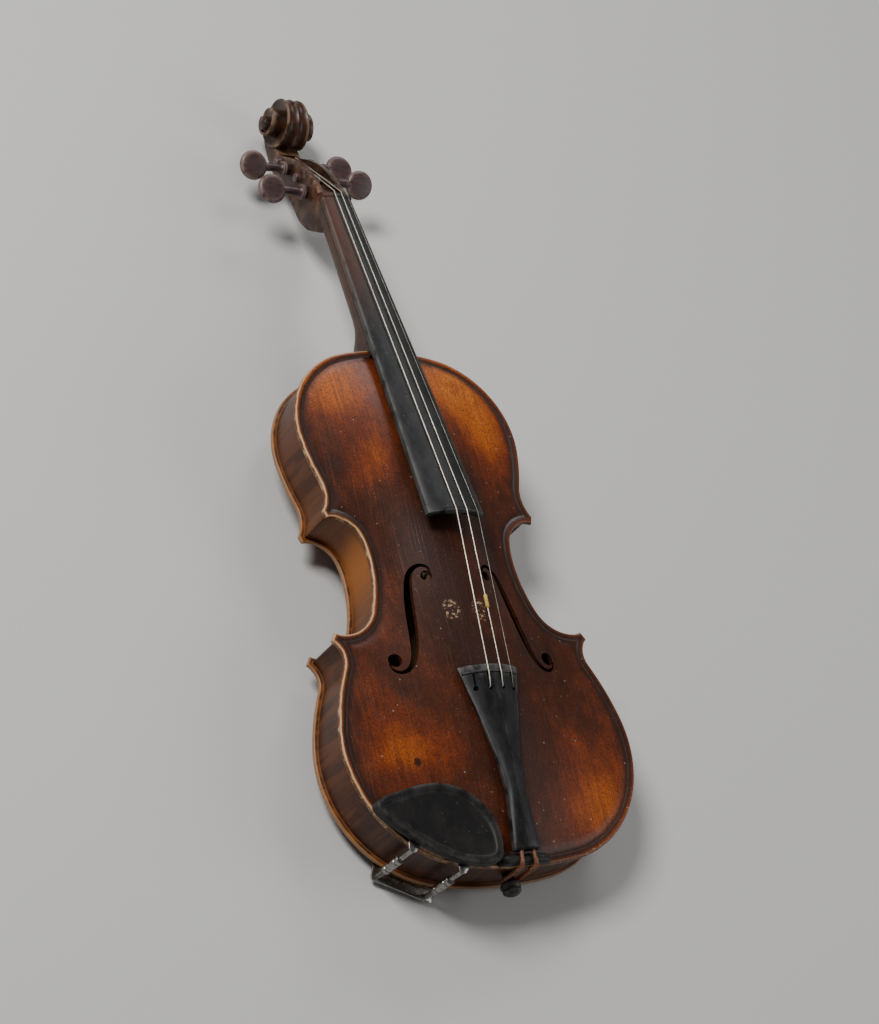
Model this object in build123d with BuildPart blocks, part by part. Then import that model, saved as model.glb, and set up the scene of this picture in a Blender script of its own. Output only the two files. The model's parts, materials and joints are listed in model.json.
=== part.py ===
from build123d import *

import os
from math import acos, atan2, cos, degrees, pi, radians, sin, sqrt

# A full-size violin without its bridge, with three of its four strings, a chin rest and
# its clamp. The violin's own frame: +X to the treble side, +Y from the end button to the
# scroll, +Z out of the top plate, origin on the joint of back and ribs at the lower edge.

# ---- overall sizes
body_length = 356.0
rib_height = 30.0
plate_edge = 3.8            # thickness of both plates at their edge
top_arch = 14.2             # rise of the top above its edge
back_arch = 13.0
plate_wall = 3.0            # thickness of the arched part
overhang = 2.8              # plate edge past the ribs
rib_wall = 1.2
form = body_length / 356.0  # the outline is drawn at 356 mm and grows with the body

# ---- outline of one half, as radius and sweep of tangent arcs
lower_bout = [(251.3, 9.3), (75.2, 93.0), (158.9, 13.8), (14.8, -76.6)]
upper_bout = [(153.8, -13.2), (60.9, -84.9), (144.8, -10.6), (26.5, 50.8)]
waist_to_upper = [(56.0, -14.7), (19.0, -66.8), (12.6, -25.5)]
waist_to_lower = [(96.1, 21.7), (25.6, 70.7), (12.5, 24.0)]
waist_half = 53.5 * form
waist_y = 203.0 * form
lower_peak_y = 78.0 * form  # widest place of the lower bout
upper_peak_y = 291.0 * form
arch_middle = 0.53          # highest place of both arches along the body
arch_widths = (98.0 * form, 50.0 * form, 77.0 * form)  # lower, waist, upper

# ---- blocks, linings, bar and post
end_block = (50.0, 15.0)    # across, along
lining = (1.8, 7.0)         # thickness, height
bar_size = (5.5, 266.0, 11.0)
bar_x = -16.0
bar_y = 46.0 * form
post_radius = 3.1
post_place = (19.0 * form, 155.0 * form)

# ---- neck, fingerboard and head
board_end_y = 221.3 * form
nut_y = body_length + 129.2
top_z = rib_height + plate_edge
board_end_z = top_z + 26.6  # upper side edge of the fingerboard at its wide end
board_nut_z = top_z - 11.3
board_end_half = 20.5
board_nut_half = 11.3
board_side = 4.8            # height of the fingerboard's side
board_radius = 42.0
nut_length = 5.0
nut_rise = 0.5
neck_depth = (13.5, 16.0)   # under the fingerboard, at the nut and at the heel
heel_reach = 24.0           # heel past the body's upper edge
heel_set = 6.0              # heel let into the top block
button_half = 10.5
pegbox_half = (11.8, 8.6)   # at the nut and at the throat
cheek_wall = 4.6
pegbox_mouth = (6.5, 65.5)  # cavity, past the nut
scroll_center = (nut_y + 87.8, board_nut_z - 37.5)
scroll_radius = 20.0
# the volute's terraces: share of its radius, half width, how much a turn draws in
scroll_steps = [(1.0, 9.5, 0.02), (0.72, 13.5, 0.05), (0.47, 17.0, 0.05), (0.27, 20.0, 0.05)]

# ---- pegs: name, side, Y past the nut, Z under its edge, turn of the flat head
pegs = [
    ("g", -1, 15.5, 17.7, 20.0),
    ("e", 1, 32.0, 23.5, 35.0),
    ("d", -1, 46.0, 33.0, 28.0),
    ("a", 1, 58.5, 42.0, 15.0),
]
peg_thick = 3.9
peg_thin = 3.3
peg_gap = 0.05              # radial running clearance in the cheeks
peg_tip = 2.2               # tip and shoulder past the cheeks
peg_shoulder = 1.0
peg_collar = 5.2
peg_neck_length = 9.0
peg_head_radius = 10.3
peg_head_thick = 6.0
peg_head_x = 38.0

# ---- tail
tail_foot_y = 8.0
# tailpiece sections: from the foot, half width, side, rise of the arched top, clear of the plate
tail_stations = [(0.0, 9.4, 4.2, 2.1, 3.0), (17.0, 7.8, 4.4, 2.3, 2.0), (36.0, 6.3, 4.0, 2.7, 1.3),
                 (58.0, 8.8, 3.2, 3.4, 0.8),
                 (90.0, 15.8, 2.0, 4.6, 0.6), (114.0, 21.8, 1.5, 5.6, 0.5)]
fret_back = 5.6             # behind the tailpiece's wide end
fret_size = (1.5, 1.0)      # along, height
hole_radius = 1.6
hole_pitch = 9.0
hole_back = 15.0
slot_width = 1.3
gut_radius = 1.3
gut_half_gap = 3.6
saddle_size = (36.0, 6.5, 4.6)
end_button_z = rib_height / 2
end_button_radius = 6.5
end_button_neck = 3.7
gut_loop = end_button_neck + gut_radius + 0.12

# ---- strings: name, radius, keyhole from the bass side, X at board, nut and peg
strings = [
    ("d", 0.40, 1, -4.0, -2.65, -2.5),
    ("a", 0.35, 2, 3.8, 2.65, 1.3),
    ("e", 0.20, 3, 13.0, 7.6, 3.6),
]
string_gap = 0.15           # strings over what they lie on
string_start = 2.2          # string's end under the tailpiece's top
winding_turns = 5
winding_gap = 0.3           # between a string's end and its winding
sleeve_size = (1.15, 8.0)
sleeve_y = 161.0

# ---- chin rest and its clamp
chin_outline = [(-98.0, 38.0), (-78.0, 47.5), (-52.0, 51.0), (-31.0, 42.0), (-20.0, 22.0),
                (-23.5, 1.5), (-46.0, 1.5), (-74.0, 16.0)]
chin_high_corner = (-31.0 * form, 42.0 * form)
chin_gap = 0.45              # over the arch under that corner
chin_thick = 8.4
chin_cup_radius = 170.0
chin_cup_depth = 4.0
leg_places = [(-76.5, 13.3), (-46.5, -1.2)]
leg_radius = 1.6
tab_size = (7.0, 13.0, 1.5)  # across, reach inwards, thickness
barrel_radius = 2.9
barrel_length = 19.0
barrel_z = (rib_height - 20.0) / 2   # lower end
thread_gap = 0.05
foot_travel = 4.0
foot_cork_gap = 0.35
foot_cork_thick = 1.05
foot_plate_z = -plate_edge - foot_cork_gap - foot_cork_thick  # upper face of the foot's plate

board_fall = (board_end_z - board_nut_z) / (nut_y - board_end_y)
finished = []


def finish(builder, name):
    """Names a finished piece and keeps it for the export."""
    builder.part.label = name
    finished.append(builder.part)


def board_z(y):
    """Height of the fingerboard's upper side edge."""
    return board_nut_z + board_fall * (nut_y - y)


def board_half(y):
    """Half width of the fingerboard."""
    share = (nut_y - y) / (nut_y - board_end_y)
    return board_nut_half + (board_end_half - board_nut_half) * share


def crown(half, radius):
    """Rise of an arc of this radius over its half chord."""
    return radius - sqrt(radius**2 - half**2)


def arc_run(start, heading, arcs):
    """Draws tangent arcs one after another and returns the last one."""
    arc = None
    for radius, sweep in arcs:
        start = start if arc is None else arc @ 1
        heading = heading if arc is None else arc % 1
        arc = JernArc(start=start, tangent=heading, radius=radius * form, arc_size=sweep)
    return arc


def outline(inset=0.0):
    """The body's outline as a face, moved inwards by the inset."""
    with BuildLine() as half:
        low = arc_run((0, 0), (1, 0), lower_bout)
        high = arc_run((0, body_length), (1, 0), upper_bout)
        rise = arc_run((waist_half, waist_y), (0, 1), waist_to_upper)
        fall = arc_run((waist_half, waist_y), (0, -1), waist_to_lower)
        Line(low @ 1, fall @ 1)
        Line(high @ 1, rise @ 1)
        mirror(about=Plane.YZ)
    with BuildSketch() as shape:
        make_face(half.edges())
        if inset:
            offset(amount=-inset, kind=Kind.INTERSECTION)
    return shape.sketch


def outline_ring(inset, wall):
    """A closed strip along the outline, this far in and this wide."""
    with BuildSketch() as strip:
        add(outline(inset))
        add(outline(inset + wall), mode=Mode.SUBTRACT)
    return strip.sketch


def zone(points, side=1):
    """A polygon drawn on the treble side, or mirrored to the bass side."""
    with BuildSketch() as shape:
        with BuildLine():
            Polyline(*[(side * x * form, y * form) for x, y in points], close=True)
        make_face()
    return shape.sketch


def arching_width(y):
    """Half width over which a plate's arch comes down to its edge."""
    lower, waist, upper = arch_widths
    if y < lower_peak_y:
        reach = lower_peak_y + 12
        return lower * sqrt(max(0.05, 1 - ((lower_peak_y - y) / reach) ** 2))
    if y < waist_y:
        turn = pi * (y - lower_peak_y) / (waist_y - lower_peak_y)
        return waist + (lower - waist) * (1 + cos(turn)) / 2
    if y < upper_peak_y:
        turn = pi * (upper_peak_y - y) / (upper_peak_y - waist_y)
        return waist + (upper - waist) * (1 + cos(turn)) / 2
    reach = body_length - upper_peak_y + 12
    return upper * sqrt(max(0.05, 1 - ((y - upper_peak_y) / reach) ** 2))


def arching(x, y, rise):
    """Height of a plate's arch over its edge."""
    middle = body_length * arch_middle
    along = max(0.0, 1 - abs((y - middle) / (middle - 4)) ** 2.6) if y < middle else max(
        0.0, 1 - abs((y - middle) / (body_length - middle - 4)) ** 2.6)
    across = cos(pi / 2 * min(1.0, abs(x) / arching_width(y))) ** 2
    return rise * along * across


def arched_face(rise, base, sign=1):
    """The arch as one smooth face, wider than the body."""
    columns, rows = 18, 28
    side = 112.0 * form
    points = []
    for column in range(columns + 1):
        x = -side + 2 * side * column / columns
        line = []
        for row in range(rows + 1):
            y = -6 + (body_length + button_half + 10) * row / rows
            line.append((x, y, base + sign * arching(x, y, rise)))
        points.append(line)
    return Face.make_surface_from_array_of_points(points, tol=0.02, max_deg=3)


top_outer = arched_face(top_arch, top_z)
top_inner = arched_face(top_arch, top_z - plate_wall)
back_outer = arched_face(back_arch, -plate_edge, -1)
back_inner = arched_face(back_arch, plate_wall - plate_edge, -1)


def under(face, sketch, base, height):
    """What stands on a sketch up to an arched face."""
    with BuildPart() as block:
        with BuildSketch(Plane.XY.offset(base)):
            add(sketch)
        extrude(amount=height)
        split(bisect_by=face, keep=Keep.BOTTOM)
    return block.part


def over(face, sketch, base, depth):
    """What hangs from a sketch down to an arched face."""
    with BuildPart() as block:
        with BuildSketch(Plane.XY.offset(base)):
            add(sketch)
        extrude(amount=-depth)
        split(bisect_by=face, keep=Keep.TOP)
    return block.part


# ---- neck with heel, pegbox and scroll, one piece of maple
# side view from the nut's front upper corner: past the nut, then height
head_front = [(5.05, -2.8), (12.1, -4.9), (22.1, -8.7), (32.9, -13.5), (44.1, -20.6),
              (54.1, -29.8), (64.0, -41.0), (72.0, -44.0)]
head_back = [(86.0, -57.3), (74.0, -57.5), (60.0, -55.5), (46.0, -49.5), (30.0, -42.5),
             (16.0, -38.4), (8.3, -36.9), (1.6, -34.1), (-8.2, -28.5), (-15.2, -20.5),
             (-18.2, -14.0)]
cavity_floor = [(6.5, -23.0), (20.0, -31.0), (40.0, -38.5), (52.0, -46.0), (60.0, -49.0),
                (65.5, -46.5)]
heel_y = body_length + heel_reach
root_y = body_length - heel_set


def neck_section(y, depth):
    """The neck's D section under the fingerboard, on a plane across the neck."""
    top = board_z(y) - board_side
    half = board_half(y)
    with BuildSketch(Plane(origin=(0, y, 0), x_dir=(1, 0, 0), z_dir=(0, -1, 0))) as section:
        with BuildLine():
            Polyline((half, top - 2), (half, top), (-half, top), (-half, top - 2))
            Spline([(half, top - 2), (half * 0.72, top - depth * 0.82), (0, top - depth),
                    (-half * 0.72, top - depth * 0.82), (-half, top - 2)],
                   tangents=[(0, -1), (0, 1)])
        make_face()
    return section.sketch


def side_view(points, closing=()):
    """A face in the plane of symmetry, with a smooth stretch and straight closing runs."""
    with BuildSketch(Plane.YZ) as view:
        with BuildLine():
            Spline(points)
            Polyline(points[-1], *closing, points[0])
        make_face()
    return view.sketch


def side_wedge(near, far):
    """Sketch between two straight sides in plan: (half width, y) near and far."""
    with BuildSketch() as plan:
        with BuildLine():
            Polyline((near[0], near[1]), (far[0], far[1]), (-far[0], far[1]),
                     (-near[0], near[1]), close=True)
        make_face()
    return plan.sketch


def spiral(share, growth):
    """One turn of a scroll's volute at this share of its radius."""
    points = []
    for step in range(25):
        turn = 2 * pi * step / 24
        reach = scroll_radius * share * (1 - growth * turn)
        points.append((scroll_center[0] + reach * cos(turn - 2.0),
                       scroll_center[1] + reach * sin(turn - 2.0)))
    return side_view(points)


head = [(nut_y + y, board_nut_z + z) for y, z in head_front]
chin = [(nut_y + y, board_nut_z + z) for y, z in head_back]
floor = [(nut_y + y, board_nut_z + z) for y, z in cavity_floor]
seat_z = board_nut_z - board_side

with BuildPart() as head_block:
    with BuildSketch(Plane.YZ):
        with BuildLine():
            Spline(head)
            Polyline(head[-1], scroll_center, chin[0])
            Spline(chin)
            Polyline(chin[-1], (nut_y - 8, board_z(nut_y - 8) - board_side),
                     (nut_y, seat_z), (nut_y + nut_length + 0.05, seat_z), head[0])
        make_face()
    extrude(amount=pegbox_half[0] + 3, both=True)
    extrude(side_wedge((board_half(nut_y - 20), nut_y - 20), (pegbox_half[1], nut_y + 95)),
            amount=160, both=True, mode=Mode.INTERSECT)

with BuildPart() as cavity:
    with BuildSketch(Plane.YZ):
        with BuildLine():
            Spline(floor)
            Polyline(floor[-1], (floor[-1][0], 60), (floor[0][0], 60), floor[0])
        make_face()
    extrude(amount=pegbox_half[0], both=True)
    extrude(side_wedge((pegbox_half[0] - cheek_wall, nut_y + pegbox_mouth[0]),
                       (pegbox_half[1] - cheek_wall, nut_y + pegbox_mouth[1])),
            amount=160, both=True, mode=Mode.INTERSECT)


peg_axes = {name: (side, nut_y + past_nut, board_nut_z - under_nut)
            for name, side, past_nut, under_nut, turn in pegs}


def peg_taper(x):
    """Radius of a peg at this distance from the middle, towards its head."""
    return (peg_thick + peg_thin) / 2 + (peg_thick - peg_thin) / 2 * x / pegbox_half[0]


def turned(side, y, z, profile):
    """A piece turned about a peg's axis: (along, radius) towards the head."""
    plane = Plane(origin=(0, y, z), x_dir=(side, 0, 0), z_dir=(0, 0, 1))
    with BuildPart() as piece:
        with BuildSketch(plane):
            with BuildLine():
                Polyline(*profile, close=True)
            make_face()
        revolve(axis=Axis((0, y, z), (side, 0, 0)))
    return piece.part


with BuildPart() as neck:
    loft(sections=[neck_section(nut_y - 6, neck_depth[0]), neck_section(heel_y, neck_depth[1])])
    with BuildSketch(Plane.YZ):
        with BuildLine():
            Polyline((heel_y, board_z(heel_y) - board_side),
                     (root_y, board_z(root_y) - board_side), (root_y, 0),
                     (body_length + button_half * 0.8, 0), (body_length + button_half, 8),
                     (body_length + button_half + 2.5, rib_height * 0.55),
                     (heel_y, board_z(heel_y) - board_side - neck_depth[1]), close=True)
        make_face()
    extrude(amount=board_half(heel_y), both=True)
    for side in (1, -1):
        with BuildSketch(Plane.XZ.offset(-body_length)):
            with BuildLine():
                Polyline((side * board_half(heel_y), rib_height + 6), (side * button_half, 0),
                         (side * 40, 0), (side * 40, rib_height + 6), close=True)
            make_face()
        extrude(amount=60, both=True, mode=Mode.SUBTRACT)
    add(head_block.part)
    add(cavity.part, mode=Mode.SUBTRACT)
    for share, half_width, growth in scroll_steps:
        extrude(spiral(share, growth), amount=half_width, both=True)
    for side, y, z in peg_axes.values():
        reach = pegbox_half[0] + 8
        hole = [(-reach, 0), (-reach, peg_taper(-reach) + peg_gap),
                (reach, peg_taper(reach) + peg_gap), (reach, 0)]
        add(turned(side, y, z, hole), mode=Mode.SUBTRACT)
finish(neck, "neck")


# ---- fingerboard and nut
def board_section(y, top, bottom, inset=0.0):
    """Arched section of the fingerboard on a plane across it."""
    half = board_half(y) - inset
    rise = crown(half, board_radius)
    with BuildSketch(Plane(origin=(0, y, 0), x_dir=(1, 0, 0), z_dir=(0, -1, 0))) as section:
        with BuildLine():
            Polyline((-half, top), (-half, bottom), (half, bottom), (half, top))
            ThreePointArc((half, top), (0, top + rise), (-half, top))
        make_face()
    return section.sketch


def board_ends(near, far, top_drop, inset):
    """Two sections with their undersides on the glue plane."""
    return [board_section(y, board_z(y) - top_drop, board_z(y) - board_side, inset)
            for y in (near, far)]


with BuildPart() as fingerboard:
    loft(sections=board_ends(board_end_y, nut_y, 0.0, 0.0), ruled=True)
    loft(sections=board_ends(board_end_y - 1, root_y - 4, board_side - 0.2, 4.0), ruled=True,
         mode=Mode.SUBTRACT)
finish(fingerboard, "fingerboard")

with BuildPart() as nut:
    extrude(board_section(nut_y, board_nut_z + nut_rise, seat_z), amount=-nut_length)
    fillet(nut.faces().sort_by(Axis.Y)[-1].edges().sort_by(Axis.Z)[-1], 1.5)
finish(nut, "nut")

# ---- plates and what is let into them
# the stem of a sound hole: x, y and width along its middle line
f_stem = [(19.4, 189.0, 1.2), (20.4, 192.4, 1.7), (24.3, 194.6, 2.3), (29.0, 193.0, 3.1),
          (32.6, 187.3, 4.2), (35.4, 176.0, 5.4), (37.8, 161.5, 6.0), (39.9, 147.5, 5.5),
          (42.8, 135.0, 4.3), (47.2, 126.9, 3.2), (52.8, 124.2, 2.4), (57.8, 126.0, 1.7),
          (59.8, 130.4, 1.2)]
f_eyes = [((22.0, 187.0), 3.4), ((55.6, 132.6), 4.4)]
f_nicks = ((38.0, 160.5), (8.6, 1.4))
purfling = (4.0, 1.3, 2.0)  # in from the edge, width, depth
well = overhang + rib_wall


def sound_hole(side):
    """Two eyes, a swept stem and its nicks."""
    edges = {1: [], -1: []}
    last = len(f_stem) - 1
    for place, (x, y, width) in enumerate(f_stem):
        before, after = f_stem[max(0, place - 1)], f_stem[min(last, place + 1)]
        along = Vector(after[0] - before[0], after[1] - before[1]).normalized()
        for edge in edges:
            across = edge * width / 2
            edges[edge].append((side * form * (x - along.Y * across),
                                form * (y + along.X * across)))
    with BuildSketch() as hole:
        with BuildLine():
            inner = Spline(edges[1])
            outer = Spline(edges[-1])
            Line(inner @ 1, outer @ 1)
            Line(outer @ 0, inner @ 0)
        make_face()
        for (x, y), radius in f_eyes:
            with Locations((side * x * form, y * form)):
                Circle(radius)
        with Locations((side * f_nicks[0][0] * form, f_nicks[0][1] * form)):
            Rectangle(*f_nicks[1])
    return hole.sketch


with BuildPart() as saddle:
    with Locations((0, 0.8, rib_height)):
        Box(saddle_size[0], saddle_size[1], saddle_size[2] + plate_edge,
            align=(Align.CENTER, Align.MIN, Align.MIN))
    fillet(saddle.edges().filter_by(Axis.X).group_by(Axis.Z)[-1], 2.0)
finish(saddle, "saddle")

with BuildPart() as purfling_top:
    add(under(top_outer, outline_ring(*purfling[:2]), top_z - purfling[2], 30))
    for fitted in (saddle, neck):
        add(fitted.part, mode=Mode.SUBTRACT)
finish(purfling_top, "purfling_top")

with BuildPart() as purfling_back:
    add(over(back_outer, outline_ring(*purfling[:2]), purfling[2] - plate_edge, 30))
finish(purfling_back, "purfling_back")

with BuildPart() as top_plate:
    add(under(top_outer, outline(), rib_height, 40))
    add(under(top_inner, outline(well + lining[0]), rib_height, 40), mode=Mode.SUBTRACT)
    extrude(sound_hole(1), amount=90, mode=Mode.SUBTRACT)
    extrude(sound_hole(-1), amount=90, mode=Mode.SUBTRACT)
    for inlay in (purfling_top, saddle, neck):
        add(inlay.part, mode=Mode.SUBTRACT)
finish(top_plate, "top_plate")

with BuildSketch() as back_outline:
    add(outline())
    with Locations((0, body_length)):
        Circle(button_half)

with BuildPart() as back_plate:
    add(over(back_outer, back_outline.sketch, 0, 40))
    add(over(back_inner, outline(well + lining[0]), 0, 40), mode=Mode.SUBTRACT)
    add(purfling_back.part, mode=Mode.SUBTRACT)
finish(back_plate, "back_plate")

# ---- end button, then ribs, blocks and linings
with BuildPart() as end_button:
    with BuildSketch(Plane.YZ):
        with BuildLine():
            Polyline((well + 12, end_button_z), (well + 12, end_button_z + 3.2),
                     (overhang, end_button_z + end_button_neck), (-3.6, end_button_z + end_button_neck),
                     (-4.6, end_button_z + end_button_radius),
                     (-9.0, end_button_z + end_button_radius - 0.6),
                     (-11.4, end_button_z + 3.0), (-11.8, end_button_z), close=True)
        make_face()
    revolve(axis=Axis((0, 0, end_button_z), (0, 1, 0)))
finish(end_button, "end_button")

lower_in, lower_out = (72, 144.2), (108, 154.6)   # line on which the ribs meet
upper_in, upper_out = (62, 239), (92, 227.6)
rib_zones = {
    "lower": [(0, -10), (120, -10), (120, 154.6), lower_out, lower_in, (0, 144.2)],
    "centre": [lower_out, lower_in, (40, 165), (40, 222), upper_in, upper_out],
    "upper": [(0, 370), (120, 370), (120, 227.6), upper_out, upper_in, (0, 239)],
}
corner_zones = {
    "lower": [(98, 160), (64, 160), (70, 146), (86, 124), (100, 124)],
    "upper": [(88, 222), (56, 222), (58, 232), (66, 240), (72, 256), (88, 256)],
}
rib_strip = outline_ring(overhang, rib_wall)
inner_face = outline(well)
sides = {"treble": 1, "bass": -1}

for side_name, side in sides.items():
    for zone_name, points in rib_zones.items():
        with BuildPart() as rib:
            with BuildSketch():
                add(rib_strip)
                add(zone(points, side), mode=Mode.INTERSECT)
            extrude(amount=rib_height)
            if zone_name == "upper":
                add(neck.part, mode=Mode.SUBTRACT)
            if zone_name == "lower":
                add(end_button.part, mode=Mode.SUBTRACT)
        finish(rib, f"rib_{zone_name}_{side_name}")

block_sketches = []
for side_name, side in sides.items():
    for zone_name, points in corner_zones.items():
        with BuildPart() as corner_block:
            with BuildSketch() as corner:
                add(inner_face)
                add(zone(points, side), mode=Mode.INTERSECT)
            extrude(amount=rib_height)
        block_sketches.append(corner.sketch)
        finish(corner_block, f"corner_block_{zone_name}_{side_name}")

for block_name, y, fitted in (("top_block", body_length - well, neck),
                              ("bottom_block", well, end_button)):
    with BuildPart() as block:
        with BuildSketch() as block_plan:
            add(inner_face)
            with Locations((0, y)):
                Rectangle(end_block[0], 2 * end_block[1], mode=Mode.INTERSECT)
        extrude(amount=rib_height)
        add(fitted.part, mode=Mode.SUBTRACT)
    block_sketches.append(block_plan.sketch)
    finish(block, block_name)

for lining_name, z in (("linings_top", rib_height - lining[1]), ("linings_back", 0)):
    with BuildPart() as linings:
        with BuildSketch(Plane.XY.offset(z)):
            add(outline_ring(well, lining[0]))
            for sketch in block_sketches:
                add(sketch, mode=Mode.SUBTRACT)
        extrude(amount=lining[1])
    finish(linings, lining_name)

# ---- bass bar and sound post
with BuildSketch() as bar_plan:
    with Locations((bar_x, bar_y)):
        Rectangle(bar_size[0], bar_size[1], align=(Align.CENTER, Align.MIN))
with BuildPart() as bass_bar:
    add(under(top_inner, bar_plan.sketch, rib_height - 2, 40))
    with BuildSketch(Plane.YZ):
        with BuildLine():
            low = rib_height - 3
            bar_end = bar_y + bar_size[1]
            Polyline((bar_y - 1, top_z - 1), (bar_y - 1, low), (bar_end + 1, low),
                     (bar_end + 1, top_z - 1))
            ThreePointArc((bar_end + 1, top_z - 1),
                          ((bar_y + bar_end) / 2, top_z + top_arch - plate_wall - bar_size[2]),
                          (bar_y - 1, top_z - 1))
        make_face()
    extrude(amount=60, both=True, mode=Mode.SUBTRACT)
finish(bass_bar, "bass_bar")

with BuildSketch() as post_plan:
    with Locations(post_place):
        Circle(post_radius)
with BuildPart() as sound_post:
    add(under(top_inner, post_plan.sketch, 0, 60))
    add(over(back_inner, post_plan.sketch, 0, 40))
finish(sound_post, "sound_post")

# ---- pegs and the windings on them
tip = pegbox_half[0] + peg_tip
shoulder = pegbox_half[0] + peg_shoulder
for name, *_, turn in pegs:
    side, y, z = peg_axes[name]
    shaft = [(-tip, 0), (-tip, peg_taper(-tip) - 0.6), (-tip + 0.6, peg_taper(-tip)),
             (shoulder, peg_taper(shoulder)), (shoulder + 1.0, peg_collar),
             (shoulder + 3.4, peg_collar), (shoulder + 4.6, peg_thick - 0.4),
             (shoulder + peg_neck_length, peg_thick - 1.0),
             (peg_head_x - peg_head_radius + 3.0, peg_head_thick / 2),
             (peg_head_x, peg_head_thick / 2), (peg_head_x, 0)]
    disc_plane = Plane(origin=(side * peg_head_x, y, z), x_dir=(1, 0, 0),
                       z_dir=(0, -sin(radians(turn)), cos(radians(turn))))
    with BuildPart() as peg:
        with BuildSketch(disc_plane):
            Circle(peg_head_radius)
        extrude(amount=peg_head_thick / 2, both=True)
        fillet(peg.edges().filter_by(GeomType.CIRCLE), peg_head_thick / 4)
        add(turned(side, y, z, shaft))
    finish(peg, f"peg_{name}")

for name, radius, keyhole, board_x, nut_x, peg_x in strings:
    side, y, z = peg_axes[name]
    low = side * peg_x - winding_turns * radius
    high = side * peg_x + winding_turns * radius
    with BuildPart() as winding:
        add(turned(side, y, z, [(low, peg_taper(low) + peg_gap),
                                (low, peg_taper(low) + peg_gap + 2 * radius),
                                (high, peg_taper(high) + peg_gap + 2 * radius),
                                (high, peg_taper(high) + peg_gap)]))
    finish(winding, f"winding_{name}")


# ---- tailpiece
def tail_at(distance):
    """Half width, side, rise and underside of the tailpiece, this far from its foot."""
    for near, far in zip(tail_stations, tail_stations[1:]):
        if distance <= far[0]:
            share = (distance - near[0]) / (far[0] - near[0])
            half, wall, rise, clear = [a + (b - a) * share for a, b in zip(near[1:], far[1:])]
            arch = arching(0, tail_foot_y + distance, top_arch)
            return half, wall, rise, top_z + arch + clear


def tail_section(distance, inset=0.0, lift=0.0):
    """Arched section across the tailpiece."""
    half, wall, rise, under_z = tail_at(distance)
    half -= inset
    top = under_z + wall + lift
    plane = Plane(origin=(0, tail_foot_y + distance, 0), x_dir=(1, 0, 0), z_dir=(0, -1, 0))
    with BuildSketch(plane) as section:
        with BuildLine():
            Polyline((-half, top), (-half, under_z), (half, under_z), (half, top))
            ThreePointArc((half, top), (0, top + rise), (-half, top))
        make_face()
    return section.sketch


def tail_top(x, distance, inset=0.0, lift=0.0):
    """Height of the tailpiece's arched top."""
    half, wall, rise, under_z = tail_at(distance)
    half -= inset
    radius = (half**2 + rise**2) / (2 * rise)
    return under_z + wall + lift + rise - crown(abs(x), radius)


tail_length = tail_stations[-1][0]
fret_distance = tail_length - fret_back
hole_distance = tail_length - hole_back

with BuildPart() as tail_gut:
    saddle_z = top_z + saddle_size[2] + gut_radius + string_gap
    lead_y = -gut_radius - 0.25
    with BuildLine() as route:
        run = FilletPolyline((gut_half_gap, tail_foot_y + 8, saddle_z + 0.6),
                             (gut_loop, lead_y, saddle_z),
                             (gut_loop, lead_y, end_button_z), radius=3.3)
        ThreePointArc((gut_loop, lead_y, end_button_z),
                      (gut_loop * cos(pi / 4), lead_y, end_button_z - gut_loop * sin(pi / 4)),
                      (0, lead_y, end_button_z - gut_loop))
    with BuildSketch(Plane(origin=run @ 0, z_dir=run % 0)):
        Circle(gut_radius)
    sweep(path=route.wires()[0])
    mirror(about=Plane.YZ)
finish(tail_gut, "tail_gut")

with BuildPart() as tailpiece:
    loft(sections=[tail_section(station[0]) for station in tail_stations])
    with BuildSketch(Plane.XY.offset(rib_height)):
        for k in range(4):
            with Locations(((k - 1.5) * hole_pitch, tail_foot_y + hole_distance)):
                Circle(hole_radius)
                Rectangle(slot_width, hole_back - fret_back - 0.4,
                          align=(Align.CENTER, Align.MIN))
    extrude(amount=60, mode=Mode.SUBTRACT)
    add(tail_gut.part, mode=Mode.SUBTRACT)
finish(tailpiece, "tailpiece")

with BuildPart() as tailpiece_fret:
    extrude(tail_section(fret_distance, 0.4, fret_size[1]), amount=-fret_size[0])
    add(tailpiece.part, mode=Mode.SUBTRACT)
    add(tailpiece_fret.solids().sort_by(Axis.Z)[-1], mode=Mode.REPLACE)
finish(tailpiece_fret, "tailpiece_fret")


# ---- strings
def board_top(x, y):
    """Height of the fingerboard's arched top."""
    return board_z(y) + crown(board_half(y), board_radius) - crown(abs(x), board_radius)


def string_points(radius, keyhole, board_x, nut_x, peg_x, axis):
    """From the keyhole over the fret, the board's end and the nut to the peg."""
    hole_x = (keyhole - 1.5) * hole_pitch
    over = radius + string_gap
    fret_z = tail_top(hole_x, fret_distance, 0.4, fret_size[1]) + over
    nut_top = board_top(nut_x, nut_y) + nut_rise + over
    nut_back = nut_y + nut_length - 0.8
    side, y, z = axis
    reach = peg_taper(side * peg_x) + peg_gap + 3 * radius + winding_gap
    away = sqrt((nut_back - y) ** 2 + (nut_top - z) ** 2)
    turn = atan2(nut_top - z, nut_back - y) - acos(reach / away)
    return [
        (hole_x, tail_foot_y + hole_distance, tail_top(hole_x, hole_distance) - string_start),
        (hole_x, tail_foot_y + fret_distance + fret_size[0] / 2, fret_z + 0.05),
        (board_x, board_end_y, board_top(board_x, board_end_y) + over),
        (nut_x, nut_back, nut_top),
        (peg_x, y + reach * cos(turn), z + reach * sin(turn)),
    ]


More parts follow.
